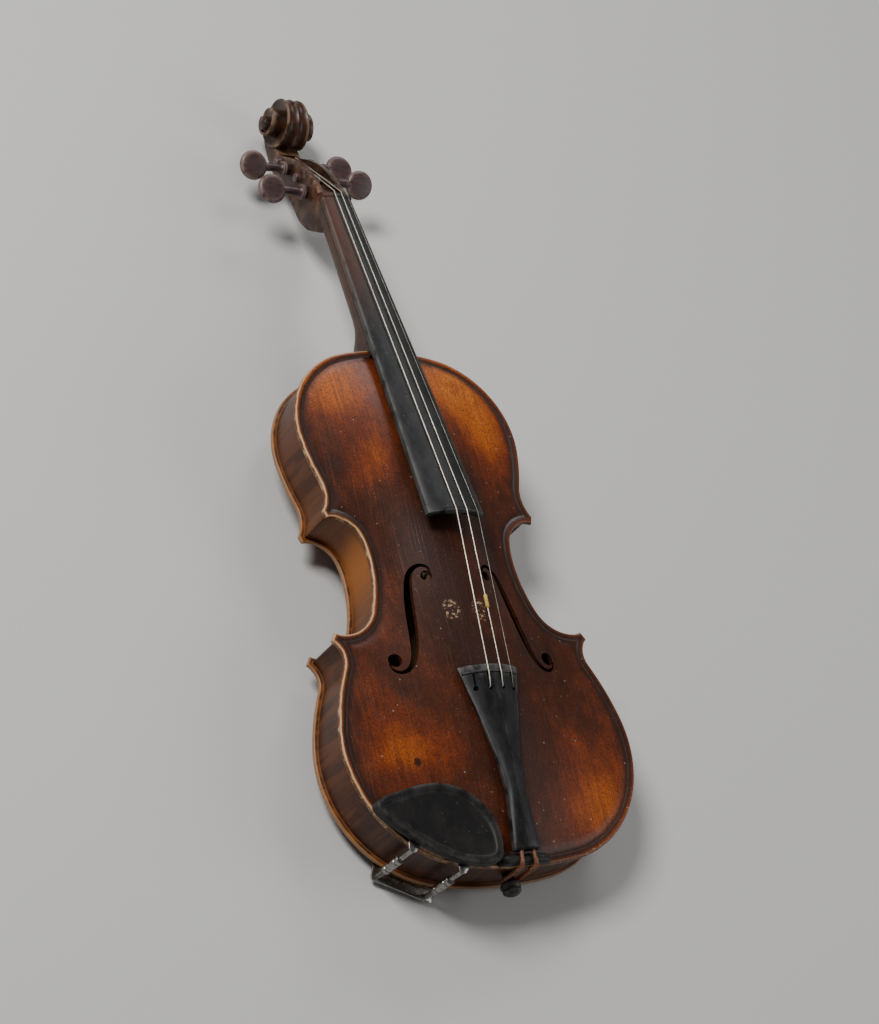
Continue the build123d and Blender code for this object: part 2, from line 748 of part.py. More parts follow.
for name, radius, keyhole, board_x, nut_x, peg_x in strings:
    points = string_points(radius, keyhole, board_x, nut_x, peg_x, peg_axes[name])
    with BuildPart() as string:
        with BuildLine() as route:
            run = FilletPolyline(*points, radius=[8.0, 6.0, 3.0])
        with BuildSketch(Plane(origin=run @ 0, z_dir=run % 0)):
            Circle(radius)
        sweep(path=route.wires()[0])
    finish(string, f"string_{name}")
    if name == "a":
        low, high = Vector(points[1]), Vector(points[2])
        place = low + (high - low) * ((sleeve_y * form - low.Y) / (high.Y - low.Y))
        with BuildPart() as string_sleeve:
            with BuildSketch(Plane(origin=place, z_dir=high - low)):
                Circle(sleeve_size[0])
                Circle(radius + peg_gap, mode=Mode.SUBTRACT)
            extrude(amount=sleeve_size[1] / 2, both=True)
        finish(string_sleeve, "string_sleeve")

# ---- chin rest, its cork and clamp
with BuildSketch() as chin_plan:
    with BuildLine():
        Spline([(x * form, y * form) for x, y in chin_outline], periodic=True)
    make_face()
chin_base_z = top_z + arching(*chin_high_corner, top_arch) + chin_gap
chin_top = chin_base_z + chin_thick
chin_middle = (-59.0 * form, 26.0 * form)
with BuildPart() as chin_rest:
    with BuildSketch(Plane.XY.offset(chin_base_z)):
        add(chin_plan.sketch)
    extrude(amount=chin_thick)
    fillet(chin_rest.faces().sort_by(Axis.Z)[-1].edges(), 1.5)
    with Locations((*chin_middle, chin_top - chin_cup_depth + chin_cup_radius)):
        Sphere(chin_cup_radius, mode=Mode.SUBTRACT)
finish(chin_rest, "chin_rest")

with BuildSketch() as cork_plan:
    add(outline_ring(1.0, 8.0))
    add(chin_plan.sketch, mode=Mode.INTERSECT)
    with BuildSketch(mode=Mode.PRIVATE) as cork_stretches:
        for x, width in ((-61.5, 15.0), (-31.0, 12.0)):
            with Locations((x * form, 20)):
                Rectangle(width, 60)
    add(cork_stretches.sketch, mode=Mode.INTERSECT)
with BuildPart() as chin_rest_cork:
    add(over(top_outer, cork_plan.sketch, chin_base_z, 30))
finish(chin_rest_cork, "chin_rest_cork")

leg_a, leg_b = [Vector(x * form, y * form) for x, y in leg_places]
leg_span = (leg_b - leg_a).length
clamp_along = (leg_b - leg_a).normalized()


def clamp_plane(place, z):
    """Level plane at a leg, X along the clamp and Y into the body."""
    return Plane(origin=(place.X, place.Y, z), x_dir=clamp_along, z_dir=(0, 0, 1))


for leg_name, place in (("a", leg_a), ("b", leg_b)):
    hook_low = barrel_z + barrel_length / 2 + 1.5
    with BuildPart() as hook:
        with BuildSketch(clamp_plane(place, hook_low)):
            Circle(leg_radius)
        extrude(amount=chin_base_z - hook_low)
        with BuildSketch(clamp_plane(place, chin_base_z)):
            with Locations((0, tab_size[1] / 2 - 2)):
                RectangleRounded(tab_size[0], tab_size[1], 1.9)
        extrude(amount=-tab_size[2])
    finish(hook, f"clamp_hook_{leg_name}")
    with BuildPart() as barrel:
        with BuildSketch(clamp_plane(place, barrel_z)):
            Circle(barrel_radius)
            Circle(leg_radius + thread_gap, mode=Mode.SUBTRACT)
        extrude(amount=barrel_length)
        with BuildSketch(Plane(origin=(place.X, place.Y, barrel_z + barrel_length / 2),
                               z_dir=clamp_along)):
            Circle(0.9)
        extrude(amount=barrel_radius + 1, both=True, mode=Mode.SUBTRACT)
    finish(barrel, f"clamp_barrel_{leg_name}")

with BuildPart() as clamp_foot:
    with BuildSketch(clamp_plane(leg_a, foot_plate_z)):
        with Locations((leg_span / 2, 4.0)):
            RectangleRounded(leg_span + 8, 14.0, 2.4)
    extrude(amount=-1.6)
    for place in (leg_a, leg_b):
        with BuildSketch(clamp_plane(place, foot_plate_z)):
            Circle(leg_radius)
        extrude(amount=barrel_z + barrel_length / 2 - 1.0 - foot_plate_z)
finish(clamp_foot, "clamp_foot")

with BuildPart() as clamp_cork:
    with BuildSketch(clamp_plane(leg_a, foot_plate_z)):
        with Locations((leg_span / 2, 7.5)):
            RectangleRounded(leg_span, 6.0, 1.5)
    extrude(amount=foot_cork_thick)
finish(clamp_cork, "clamp_cork")

# ---- the violin lies on the lowest places of its back and its scroll
back_low = (body_length * arch_middle, -plate_edge - back_arch)
scroll_low = (scroll_center[0], scroll_center[1] - scroll_radius)
lean = degrees(atan2(back_low[1] - scroll_low[1], scroll_low[0] - back_low[0]))
leaning = Location((0, 0, 0), (lean, 0, 0))
box = Compound(children=[piece.moved(leaning) for piece in finished]).bounding_box()
lying = Location((-box.center().X, -box.center().Y, -box.min.Z)) * leaning

os.makedirs("parts", exist_ok=True)
for piece in finished:
    name = piece.label
    placed = piece.moved(lying)
    placed.label = name
    export_step(placed, f"parts/{name}.step")
print("pieces", len(finished), "size", box.size, "lean", round(lean, 3))
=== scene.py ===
import json
from math import acos, atan2, cos, degrees, exp, pi, radians, sin, sqrt

import bpy
import numpy as np
from mathutils import Matrix, Vector
from mathutils.geometry import delaunay_2d_cdt


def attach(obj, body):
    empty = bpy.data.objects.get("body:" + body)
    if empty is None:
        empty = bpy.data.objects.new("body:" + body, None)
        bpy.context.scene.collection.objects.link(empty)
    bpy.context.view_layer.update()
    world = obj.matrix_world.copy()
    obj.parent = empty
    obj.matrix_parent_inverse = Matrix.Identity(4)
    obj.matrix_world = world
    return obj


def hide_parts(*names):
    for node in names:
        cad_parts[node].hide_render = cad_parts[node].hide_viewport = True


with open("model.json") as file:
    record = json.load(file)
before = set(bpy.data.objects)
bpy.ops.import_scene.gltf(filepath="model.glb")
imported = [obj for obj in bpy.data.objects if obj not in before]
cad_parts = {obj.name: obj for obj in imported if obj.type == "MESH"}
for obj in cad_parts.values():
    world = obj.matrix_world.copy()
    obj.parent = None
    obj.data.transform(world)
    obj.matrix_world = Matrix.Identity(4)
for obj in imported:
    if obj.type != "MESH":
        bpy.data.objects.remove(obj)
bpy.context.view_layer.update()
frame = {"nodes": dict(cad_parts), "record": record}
bpy.ops.object.select_all(action="DESELECT")

# The pieces are shaped in the violin's own frame, in millimetres: +X to the treble side,
# +Y from the end button to the scroll, +Z out of the top, origin on the lower edge of the back.
body = {
    "length": 356.0,
    "ribHeight": 30.0,
    "plateEdge": 3.8,
    "topArch": 14.2,
    "backArch": 13.0,
    "plateWall": 3.0,
    "outlineStep": 1.3,       # spacing of points along the outline
    "gridStep": 3.4,          # spacing inside the plates
    "waist": (53.5, 203.0),
    "lowerBout": [(251.3, 9.3), (75.2, 93.0), (158.9, 13.8), (14.8, -76.6)],
    "upperBout": [(153.8, -13.2), (60.9, -84.9), (144.8, -10.6), (26.5, 50.8)],
    "waistToUpper": [(56.0, -14.7), (19.0, -66.8), (12.6, -25.5)],
    "waistToLower": [(96.1, 21.7), (25.6, 70.7), (12.5, 24.0)],
    "buttonRadius": 10.5,
}
neckLine = {
    "boardEndY": 221.3,
    "nutY": 485.2,
    "boardEndZ": 60.4,
    "boardNutZ": 22.5,
    "boardEndHalf": 20.5,
    "boardNutHalf": 11.3,
    "boardSide": 4.8,
    "crownRadius": 42.0,
}
topZ = body["ribHeight"] + body["plateEdge"]


def archWidth(y):
    if y < 78:
        return 98 * sqrt(max(0.05, 1 - ((78 - y) / 90) ** 2))
    if y < 203:
        return 50 + 48 * (1 + cos(pi * (y - 78) / 125)) / 2
    if y < 291:
        return 50 + 27 * (1 + cos(pi * (291 - y) / 88)) / 2
    return 77 * sqrt(max(0.05, 1 - ((y - 291) / 77) ** 2))


def arching(x, y, rise):
    middle = body["length"] * 0.53
    reach = middle - 4 if y < middle else body["length"] - middle - 4
    along = max(0.0, 1 - abs((y - middle) / reach) ** 2.6)
    return rise * along * cos(pi / 2 * min(1.0, abs(x) / archWidth(y))) ** 2


# the bridge seat is stated in the record, so it places the violin's frame
seat = next(m for m in frame["record"]["mounts"] if m["name"] == "bridge_seat")
lean = atan2(-seat["axis"][1], seat["axis"][2])
seatPoint = Vector((0, 159.5, topZ + arching(0, 159.5, body["topArch"])))
turnIn = Matrix.Rotation(lean, 4, "X") @ Matrix.Scale(0.001, 4)
toRow = Matrix.Translation(Vector(seat["pos_m"]) - turnIn @ seatPoint) @ turnIn
toViolin = toRow.inverted()
print("frame placed, lean", round(degrees(lean), 3))

cameraValues = {
    "place": (-753.22, -340.96, 1064.81),
    "right": (0.84067579, -0.23565725, 0.48757551),
    "down": (0.02752517, -0.88059395, -0.47307152),
    "forward": (0.54083877, 0.41112038, -0.73380751),
    "lens": 78.1,
}


def makeCamera(values):
    bpy.ops.object.camera_add()
    camera = bpy.context.object
    camera.name = "camera"
    turn = toRow.to_3x3().normalized()
    axes = [turn @ Vector(values["right"]), -(turn @ Vector(values["down"])),
            -(turn @ Vector(values["forward"]))]
    camera.matrix_world = Matrix.Translation(toRow @ Vector(values["place"])) @ Matrix(
        axes).transposed().to_4x4()
    camera.data.lens = values["lens"]
    camera.data.sensor_width = 36
    camera.data.clip_start = 0.05
    bpy.context.scene.camera = camera


makeCamera(cameraValues)


class Ink:
    # one socket of a material's tree; expressions on it add Math nodes
    def __init__(self, tree, socket):
        self.tree = tree
        self.socket = socket

    def node(self, kind, settings=None, inputs=None, output=0):
        made = self.tree.nodes.new("ShaderNode" + kind)
        for name, value in (settings or {}).items():
            setattr(made, name, value)
        for name, value in (inputs or {}).items():
            target = made.inputs[name]
            if isinstance(value, Ink):
                self.tree.links.new(value.socket, target)
            else:
                target.default_value = value
        return Ink(self.tree, made.outputs[output])

    def sum(self, operation, first, second):
        return self.node("Math", {"operation": operation}, {0: first, 1: second})

    def __add__(self, other):
        return self.sum("ADD", self, other)

    def __radd__(self, other):
        return self.sum("ADD", other, self)

    def __sub__(self, other):
        return self.sum("SUBTRACT", self, other)

    def __rsub__(self, other):
        return self.sum("SUBTRACT", other, self)

    def __mul__(self, other):
        return self.sum("MULTIPLY", self, other)

    def __rmul__(self, other):
        return self.sum("MULTIPLY", other, self)

    def __truediv__(self, other):
        return self.sum("DIVIDE", self, other)

    def __rtruediv__(self, other):
        return self.sum("DIVIDE", other, self)

    def __pow__(self, other):
        return self.sum("POWER", self, other)

    def between(self, low, high):
        # 0 below low and 1 above high, smooth between them
        return self.node("MapRange", {"interpolation_type": "SMOOTHSTEP"},
                         {0: self, 1: low, 2: high})

    def tint(self, under, over):
        # this value lays the colour over on the colour under
        return self.node("Mix", {"data_type": "RGBA"}, {0: self, 6: under, 7: over}, 2)


def colour(red, green, blue):
    return (red, green, blue, 1.0)


class Finish:
    # a new material with its places in the violin's millimetres
    def __init__(self, name, **shader):
        self.material = bpy.data.materials.new(name)
        self.material.use_nodes = True
        self.tree = self.material.node_tree
        self.shader = self.tree.nodes["Principled BSDF"]
        for socket, value in shader.items():
            self.shader.inputs[socket.replace("_", " ")].default_value = value
        self.start = Ink(self.tree, None)
        place = self.start.node("TexCoord", output=3)
        moved = toViolin.to_translation()
        turned = toViolin.to_3x3().normalized().to_euler()
        self.place = self.start.node(
            "Mapping", {}, {"Vector": place, "Location": moved, "Rotation": turned,
                            "Scale": (1000, 1000, 1000)})
        self.x, self.y, self.z = [self.start.node("SeparateXYZ", {}, {0: self.place}, n)
                                  for n in range(3)]

    def stretched(self, sizes, turn=(0, 0, 0)):
        # places for a pattern whose cells have these sizes in millimetres
        return self.start.node("Mapping", {}, {"Vector": self.place, "Rotation": turn,
                                               "Scale": [1 / size for size in sizes]})

    def noise(self, sizes, detail=3.0, rough=0.55, turn=(0, 0, 0), bend=0.0):
        return self.start.node("TexNoise", {}, {
            "Vector": self.stretched(sizes, turn), "Scale": 1.0, "Detail": detail,
            "Roughness": rough, "Distortion": bend})

    def specks(self, size, share):
        # small dots, this share of each cell
        far = self.start.node("TexVoronoi", {}, {"Vector": self.stretched((size,) * 3),
                                                 "Scale": 1.0})
        return 1 - far.between(share * 0.6, share)

    def spot(self, x, y, wide, tall):
        # a soft patch on the plates, 1 in its middle
        away = ((self.x - x) / wide) ** 2 + ((self.y - y) / tall) ** 2
        return 1 / (1 + away) ** 2

    def patches(self, rows):
        whole = 0.0
        for x, y, wide, tall, strength in rows:
            whole = self.spot(x, y, wide, tall) * strength + whole
        return whole

    def mark(self, name):
        return self.start.node("Attribute", {"attribute_name": name}, output=2)

    def set(self, **sockets):
        for socket, value in sockets.items():
            self.tree.links.new(value.socket, self.shader.inputs[socket.replace("_", " ")])

    def bump(self, height, depth, strength=1.0):
        self.set(Normal=self.start.node("Bump", {}, {
            "Height": height, "Distance": depth * 0.001, "Strength": strength}))


# the top's varnish from its darkest to its thinnest, the patches where it is worn, and the patches
# of painted shade, mostly beside the fingerboard and the tailpiece: across, along, half widths both ways,
# strength
varnish = {
    "dark": colour(0.030, 0.0070, 0.0022),
    "brown": colour(0.090, 0.0185, 0.0036),
    "red": colour(0.190, 0.0300, 0.0035),
    "orange": colour(0.460, 0.1020, 0.0050),
    "gold": colour(0.740, 0.2250, 0.0120),
    "worn": [(-50, 326, 34, 30, 1.15), (40, 332, 24, 30, 1.5), (56, 300, 22, 36, 0.9),
             (66, 38, 40, 44, 0.85), (-58, 72, 34, 18, 0.5), (-70, 84, 24, 40, 0.4),
             (-36, 268, 20, 22, 0.55), (-65, 168, 16, 30, 0.4)],
    "paintedShade": [(-12, 195, 16, 60, 0.85), (31, 228, 11, 42, 1.0), (-6, 130, 22, 40, 0.4),
             (-62, 268, 16, 12, 0.5), (14, 70, 22, 60, 0.7), (46, 130, 22, 30, 0.4)],
}


def spruceTop():
    f = Finish("spruceTop", Coat_Weight=0.14, Coat_Roughness=0.24, Specular_IOR_Level=0.28)
    edge = f.mark("edge")
    inside = f.mark("inside")
    grain = f.noise((0.55, 90, 3), 2.0, 0.6)
    wideGrain = f.noise((3.5, 160, 8), 2.0, 0.5)
    mottle = f.noise((26, 34, 20), 4.0, 0.62)
    smudge = f.noise((7, 11, 8), 5.0, 0.7)
    crackle = f.noise((1.0, 1.2, 1.0), 4.0, 0.75)
    flecks = f.noise((2.6, 1.9, 2.6), 5.0, 0.7)
    worn = f.patches(varnish["worn"])
    paintedShade = f.patches(varnish["paintedShade"])
    # the painted shade patches pull the varnish level down
    level = worn + (mottle - 0.5) * 0.9 + (smudge - 0.5) * 0.6 - paintedShade * 0.55
    paint = level.between(-0.35, 0.25).tint(varnish["dark"], varnish["brown"])
    paint = level.between(0.0, 0.5).tint(paint, varnish["red"])
    paint = level.between(0.3, 0.95).tint(paint, varnish["orange"])
    paint = (level.between(0.85, 1.6) * smudge.between(0.35, 0.7)).tint(paint, varnish["gold"])
    # painted shade: a dull grey-brown laid over the shaded patches
    paint = (paintedShade.between(0.2, 0.9) * 0.5).tint(paint, colour(0.050, 0.024, 0.020))
    paint = (grain.between(0.42, 0.72) * 0.45).tint(paint, varnish["dark"])
    paint = (wideGrain.between(0.5, 0.75) * 0.28).tint(paint, varnish["dark"])
    # painted sheen: pale purple-grey in the soft grain left of the fingerboard's end
    sheenOnGrain = (1 - grain.between(0.30, 0.42)) * f.spot(-28, 205, 22, 50) * 0.5
    paint = sheenOnGrain.tint(paint, colour(0.20, 0.125, 0.10))
    paint = (crackle.between(0.47, 0.60) * 0.6).tint(paint, colour(0.018, 0.005, 0.003))
    paint = ((1 - crackle.between(0.30, 0.42)) * 0.14).tint(paint, colour(0.40, 0.110, 0.020))
    # marks of the bridge's feet, down to bare wood
    feet = (f.spot(-13, 162, 7, 9) + f.spot(7, 161, 7, 10)).between(0.3, 0.6)
    paint = (feet * flecks.between(0.52, 0.57) * 0.85).tint(paint, colour(0.46, 0.31, 0.17))
    knot = (f.spot(-58, 67, 4.6, 5.2) * (0.4 + flecks * 1.2)).between(0.5, 0.8)
    paint = (knot * 0.9).tint(paint, colour(0.014, 0.005, 0.003))
    # rim: bare worn line, golden round, dark channel; the bare line and the golden round are painted
    # lighter on the left side as a painted highlight
    ragged = edge + (smudge - 0.5) * 1.7
    channel = ragged.between(2.0, 3.3) * (1 - ragged.between(5.0, 10.0))
    paint = (channel * (0.55 + flecks * 0.45)).tint(paint, colour(0.018, 0.006, 0.004))
    # painted highlight: this weight lightens the rim towards the left, where the key light falls
    litRimSide = f.x.between(20, -35)
    gilt = (1 - ragged.between(1.1, 2.3)) * (litRimSide * 0.5 + 0.25)
    paint = gilt.tint(paint, colour(0.27, 0.075, 0.012))
    wall = (1 - edge.between(0.05, 0.35)) * 0.8
    paint = wall.tint(paint, colour(0.115, 0.034, 0.008))
    bare = ragged.between(0.0, 0.3) * (1 - ragged.between(0.7, 1.2)) * (litRimSide * 0.75 + 0.08)
    paint = bare.tint(paint, colour(0.62, 0.42, 0.22))
    lowRim = f.x.between(5, 30) * f.y.between(95, 30) * (1 - edge.between(1.2, 3.0))
    paint = (lowRim * flecks.between(0.60, 0.64) * 0.8).tint(paint, colour(0.58, 0.40, 0.23))
    dust = f.specks(6.5, 0.08) * 0.8 + f.specks(2.7, 0.09) * 0.5
    paint = (dust * smudge.between(0.4, 0.6)).tint(paint, colour(0.42, 0.38, 0.33))
    scratch = f.noise((0.35, 40, 4), 0.0, 0.5, (0, 0, 0.5)).between(0.735, 0.76)
    paint = (scratch * 0.06).tint(paint, colour(0.42, 0.2, 0.08))
    paint = inside.tint(paint, colour(0.050, 0.027, 0.015))
    f.set(Base_Color=paint,
          Roughness=0.34 + smudge * 0.16 + crackle.between(0.5, 0.7) * 0.12 + feet * 0.2)
    f.bump(grain * 0.35 + crackle * 0.3 + smudge * 0.5 - scratch * 0.4, 0.16, 0.6)
    return f.material


def flamedMaple(name, deep, light, gold, direction):
    f = Finish(name, Coat_Weight=0.14, Coat_Roughness=0.26, Specular_IOR_Level=0.28)
    edge = f.mark("edge")
    flame = f.noise(direction, 2.0, 0.45, bend=0.35)
    pores = f.noise((0.4, 9, 0.4) if direction[1] < direction[0] else (0.4, 0.4, 9), 2.0, 0.6)
    mottle = f.noise((30, 40, 18), 4.0, 0.6)
    smudge = f.noise((6, 9, 6), 5.0, 0.7)
    level = (mottle - 0.5) * 1.6 + (smudge - 0.5) * 0.6 + 0.5
    paint = level.between(0.0, 1.0).tint(deep, light)
    paint = (flame.between(0.42, 0.6) * 0.45).tint(paint, gold)
    paint = (pores.between(0.55, 0.75) * 0.4).tint(paint, colour(0.016, 0.007, 0.004))
    paint = (f.specks(5.5, 0.07) * smudge.between(0.45, 0.6) * 0.5).tint(
        paint, colour(0.36, 0.32, 0.27))
    f.set(Base_Color=paint, Roughness=0.34 + smudge * 0.2)
    f.bump(pores * 0.4 + smudge * 0.5, 0.12, 0.5)
    f.flame, f.smudge, f.edge, f.paint = flame, smudge, edge, paint
    return f


def mapleBack():
    f = flamedMaple("mapleBack", colour(0.045, 0.0110, 0.0040), colour(0.17, 0.0400, 0.0080),
                    colour(0.34, 0.1050, 0.0170), (70, 6.5, 30))
    ragged = f.edge + (f.smudge - 0.5) * 1.6
    paint = ((1 - ragged.between(0.2, 1.1)) * 0.6).tint(f.paint, colour(0.42, 0.24, 0.115))
    inside = f.mark("inside")
    f.set(Base_Color=inside.tint(paint, colour(0.22, 0.13, 0.065)))
    return f.material


def mapleRibs():
    f = flamedMaple("mapleRibs", colour(0.022, 0.0070, 0.0035), colour(0.075, 0.0200, 0.0065),
                    colour(0.15, 0.0480, 0.0120), (5.5, 5.5, 60))
    lit = f.spot(-58, 205, 40, 34) * f.x.between(-20, -45)
    paint = (lit * 0.9).tint(f.paint, colour(0.34, 0.110, 0.014))
    rub = f.smudge.between(0.55, 0.68) * (f.z.between(22, 29) + f.z.between(8, 1)) * 0.45
    f.set(Base_Color=rub.tint(paint, colour(0.20, 0.095, 0.040)))
    return f.material


def mapleNeck():
    f = flamedMaple("mapleNeck", colour(0.011, 0.0050, 0.0035), colour(0.042, 0.0145, 0.0070),
                    colour(0.080, 0.0270, 0.0100), (40, 5.0, 40))
    wearAndHighlight = f.mark("wearAndHighlight")
    hand = f.y.between(375, 400) * f.y.between(478, 455)
    paint = (hand * 0.5).tint(f.paint, colour(0.070, 0.027, 0.011))
    cheek = (f.y.between(482, 488) * f.y.between(536, 505) * f.x.between(-4, -8)
             * f.z.between(8, 22))
    paint = (cheek * f.smudge.between(0.35, 0.6) * 0.6).tint(paint, colour(0.16, 0.042, 0.008))
    rub = wearAndHighlight * (f.smudge.between(0.42, 0.62) * 0.65 + 0.06)
    paint = rub.tint(paint, colour(0.26, 0.160, 0.095))
    dust = f.noise((3, 3, 3), 6.0, 0.75).between(0.55, 0.72) * f.y.between(480, 500) * 0.14
    f.set(Base_Color=dust.tint(paint, colour(0.20, 0.14, 0.12)))
    return f.material


def bareSpruce():
    f = Finish("bareSpruce", Roughness=0.8)
    grain = f.noise((0.7, 60, 30), 3.0, 0.6)
    paint = grain.between(0.35, 0.7).tint(colour(0.135, 0.085, 0.045), colour(0.080, 0.046, 0.022))
    f.set(Base_Color=paint)
    f.bump(grain, 0.1, 0.4)
    return f.material


def purflingWood():
    f = Finish("purflingWood", Coat_Weight=0.3, Coat_Roughness=0.25)
    edge = f.mark("edge")
    core = edge.between(4.25, 4.4) * (1 - edge.between(4.9, 5.05))
    smudge = f.noise((9, 9, 9), 4.0, 0.7)
    paint = (core * (0.1 + smudge.between(0.3, 0.8) * 0.6)).tint(
        colour(0.011, 0.005, 0.003), colour(0.105, 0.040, 0.013))
    f.set(Base_Color=paint, Roughness=0.4 + smudge * 0.15)
    return f.material


def ebony():
    f = Finish("ebony", Specular_IOR_Level=0.3)
    grain = f.noise((0.5, 34, 0.6), 3.0, 0.6)
    smudge = f.noise((8, 22, 8), 5.0, 0.65)
    fine = f.noise((0.9, 0.9, 0.9), 3.0, 0.7)
    wearAndHighlight = f.mark("wearAndHighlight")
    paint = smudge.between(0.35, 0.7).tint(
        colour(0.0085, 0.0090, 0.0085), colour(0.026, 0.028, 0.026))
    worn = f.y.between(360, 450) * f.x.between(0, -8) * smudge.between(0.25, 0.5)
    paint = (worn * 0.9).tint(paint, colour(0.080, 0.026, 0.014))
    paint = (grain.between(0.55, 0.75) * 0.5).tint(paint, colour(0.006, 0.006, 0.006))
    # pale grey on the board's marked edges and end: wear, and a painted highlight along the end
    paint = (wearAndHighlight * smudge.between(0.3, 0.55) * 0.75).tint(paint, colour(0.15, 0.15, 0.14))
    paint = (f.specks(4.6, 0.08) * 0.5).tint(paint, colour(0.26, 0.25, 0.23))
    f.set(Base_Color=paint, Roughness=0.36 + smudge * 0.22 + fine * 0.08)
    f.bump(grain * 0.5 + fine * 0.5, 0.08, 0.6)
    return f.material


def blackenedWood():
    f = Finish("blackenedWood", Specular_IOR_Level=0.3)
    grain = f.noise((0.6, 22, 0.8), 3.0, 0.6)
    smudge = f.noise((6, 14, 6), 5.0, 0.7)
    wearAndHighlight = f.mark("wearAndHighlight")
    paint = smudge.between(0.3, 0.75).tint(colour(0.006, 0.006, 0.006), colour(0.020, 0.019, 0.019))
    # pale grey on the marked places: wear, and on the tailpiece's centre line a painted highlight stripe
    paint = (wearAndHighlight * smudge.between(0.35, 0.6) * 0.7).tint(paint, colour(0.13, 0.12, 0.115))
    paint = (f.specks(3.6, 0.08) * 0.5).tint(paint, colour(0.25, 0.24, 0.22))
    f.set(Base_Color=paint, Roughness=0.30 + smudge * 0.22)
    f.bump(grain + smudge * 0.6, 0.07, 0.6)
    return f.material


def fretStrip():
    f = Finish("fretStrip", Roughness=0.42)
    smudge = f.noise((2, 3, 2), 4.0, 0.7)
    f.set(Base_Color=smudge.between(0.3, 0.7).tint(
        colour(0.010, 0.010, 0.010), colour(0.035, 0.034, 0.032)))
    f.bump(smudge, 0.05, 0.5)
    return f.material


def rosewood():
    f = Finish("rosewood", Coat_Weight=0.15, Coat_Roughness=0.3)
    grain = f.noise((9, 0.7, 0.7), 3.0, 0.6, bend=0.4)
    smudge = f.noise((4, 4, 4), 4.0, 0.7)
    wearAndHighlight = f.mark("wearAndHighlight")
    paint = grain.between(0.35, 0.68).tint(
        colour(0.020, 0.0080, 0.0080), colour(0.062, 0.0260, 0.0245))
    # pale on the marked places: wear on the shaft, and on the heads' rims wear with a painted highlight
    paint = (wearAndHighlight * smudge.between(0.3, 0.55) * 0.8).tint(paint, colour(0.26, 0.17, 0.145))
    f.set(Base_Color=paint, Roughness=0.38 + smudge * 0.2)
    f.bump(grain + smudge * 0.5, 0.07, 0.6)
    return f.material


def gutLoop():
    f = Finish("gutLoop", Roughness=0.5, Subsurface_Weight=0.15)
    twist = f.noise((1.2, 1.6, 1.2), 3.0, 0.6)
    f.set(Base_Color=twist.between(0.3, 0.7).tint(
        colour(0.095, 0.030, 0.014), colour(0.24, 0.095, 0.04)))
    f.bump(twist, 0.1, 0.6)
    return f.material


def chinRestBlack():
    f = Finish("chinRestBlack", Specular_IOR_Level=0.22)
    leather = f.noise((0.9, 0.9, 0.9), 4.0, 0.75)
    smudge = f.noise((10, 12, 10), 5.0, 0.65)
    wearAndHighlight = f.mark("wearAndHighlight")
    paint = smudge.between(0.3, 0.7).tint(colour(0.005, 0.0045, 0.0045), colour(0.014, 0.012, 0.011))
    paint = (leather.between(0.55, 0.7) * 0.35).tint(paint, colour(0.038, 0.035, 0.032))
    paint = (wearAndHighlight * smudge.between(0.35, 0.6) * 0.6).tint(paint, colour(0.075, 0.068, 0.063))
    paint = (f.specks(5.0, 0.07) * 0.35).tint(paint, colour(0.30, 0.28, 0.25))
    f.set(Base_Color=paint, Roughness=0.42 + leather * 0.2)
    f.bump(leather, 0.12, 0.7)
    return f.material


def corkPad():
    f = Finish("corkPad", Roughness=0.9)
    cell = f.noise((1.2, 1.2, 1.2), 5.0, 0.8)
    f.set(Base_Color=cell.between(0.35, 0.65).tint(
        colour(0.10, 0.048, 0.022), colour(0.36, 0.21, 0.11)))
    f.bump(cell, 0.25, 0.8)
    return f.material


def nickel():
    f = Finish("nickel")
    tarnish = f.noise((3, 3, 3), 5.0, 0.7)
    fine = f.noise((0.6, 0.6, 2.4), 2.0, 0.6)
    stain = tarnish.between(0.5, 0.72)
    paint = stain.tint(colour(0.30, 0.285, 0.265), colour(0.050, 0.038, 0.028))
    f.set(Base_Color=paint, Roughness=0.22 + stain * 0.35 + fine * 0.1, Metallic=1 - stain * 0.5)
    f.bump(tarnish + fine * 0.4, 0.03, 0.5)
    return f.material


def stringMetal(name, pale, dull, rough):
    f = Finish(name)
    ribbon = f.noise((1.5, 0.5, 1.5), 1.0, 0.5)
    tarnish = f.noise((9, 14, 9), 4.0, 0.7)
    f.set(Base_Color=tarnish.between(0.35, 0.75).tint(pale, dull), Roughness=rough + tarnish * 0.2,
          Metallic=0.75 - tarnish * 0.2)
    f.bump(ribbon, 0.03, 0.5)
    return f.material


def yellowSleeve():
    f = Finish("yellowSleeve", Roughness=0.5)
    smudge = f.noise((2, 2, 2), 3.0, 0.6)
    f.set(Base_Color=smudge.between(0.3, 0.8).tint(
        colour(0.72, 0.52, 0.10), colour(0.42, 0.27, 0.06)))
    f.bump(smudge, 0.04, 0.4)
    return f.material


finishes = {
    "spruce_top": spruceTop(),
    "maple_back": mapleBack(),
    "maple_ribs": mapleRibs(),
    "maple_neck": mapleNeck(),
    "bare_spruce": bareSpruce(),
    "purfling": purflingWood(),
    "ebony": ebony(),
    "blackened_wood": blackenedWood(),
    "fret_strip": fretStrip(),
    "rosewood": rosewood(),
    "gut": gutLoop(),
    "chin_rest_black": chinRestBlack(),
    "cork": corkPad(),
    "nickel": nickel(),
    "wound_string": stringMetal("woundString", colour(0.80, 0.74, 0.62), colour(0.5, 0.42, 0.32), 0.28),
    "steel_string": stringMetal("steelString", colour(0.34, 0.30, 0.25), colour(0.16, 0.13, 0.10), 0.34),
    "yellow_sleeve": yellowSleeve(),
}
print("materials made", len(finishes))


def pieceFrom(name, points, faces):
    # a closed surface that is worked out point by point
    mesh = bpy.data.meshes.new(name)
    mesh.from_pydata(points, [], faces)
    made = bpy.data.objects.new(name, mesh)
    bpy.context.collection.objects.link(made)
    return made


def pick(piece):
    bpy.ops.object.select_all(action="DESELECT")
    piece.select_set(True)
    bpy.context.view_layer.objects.active = piece


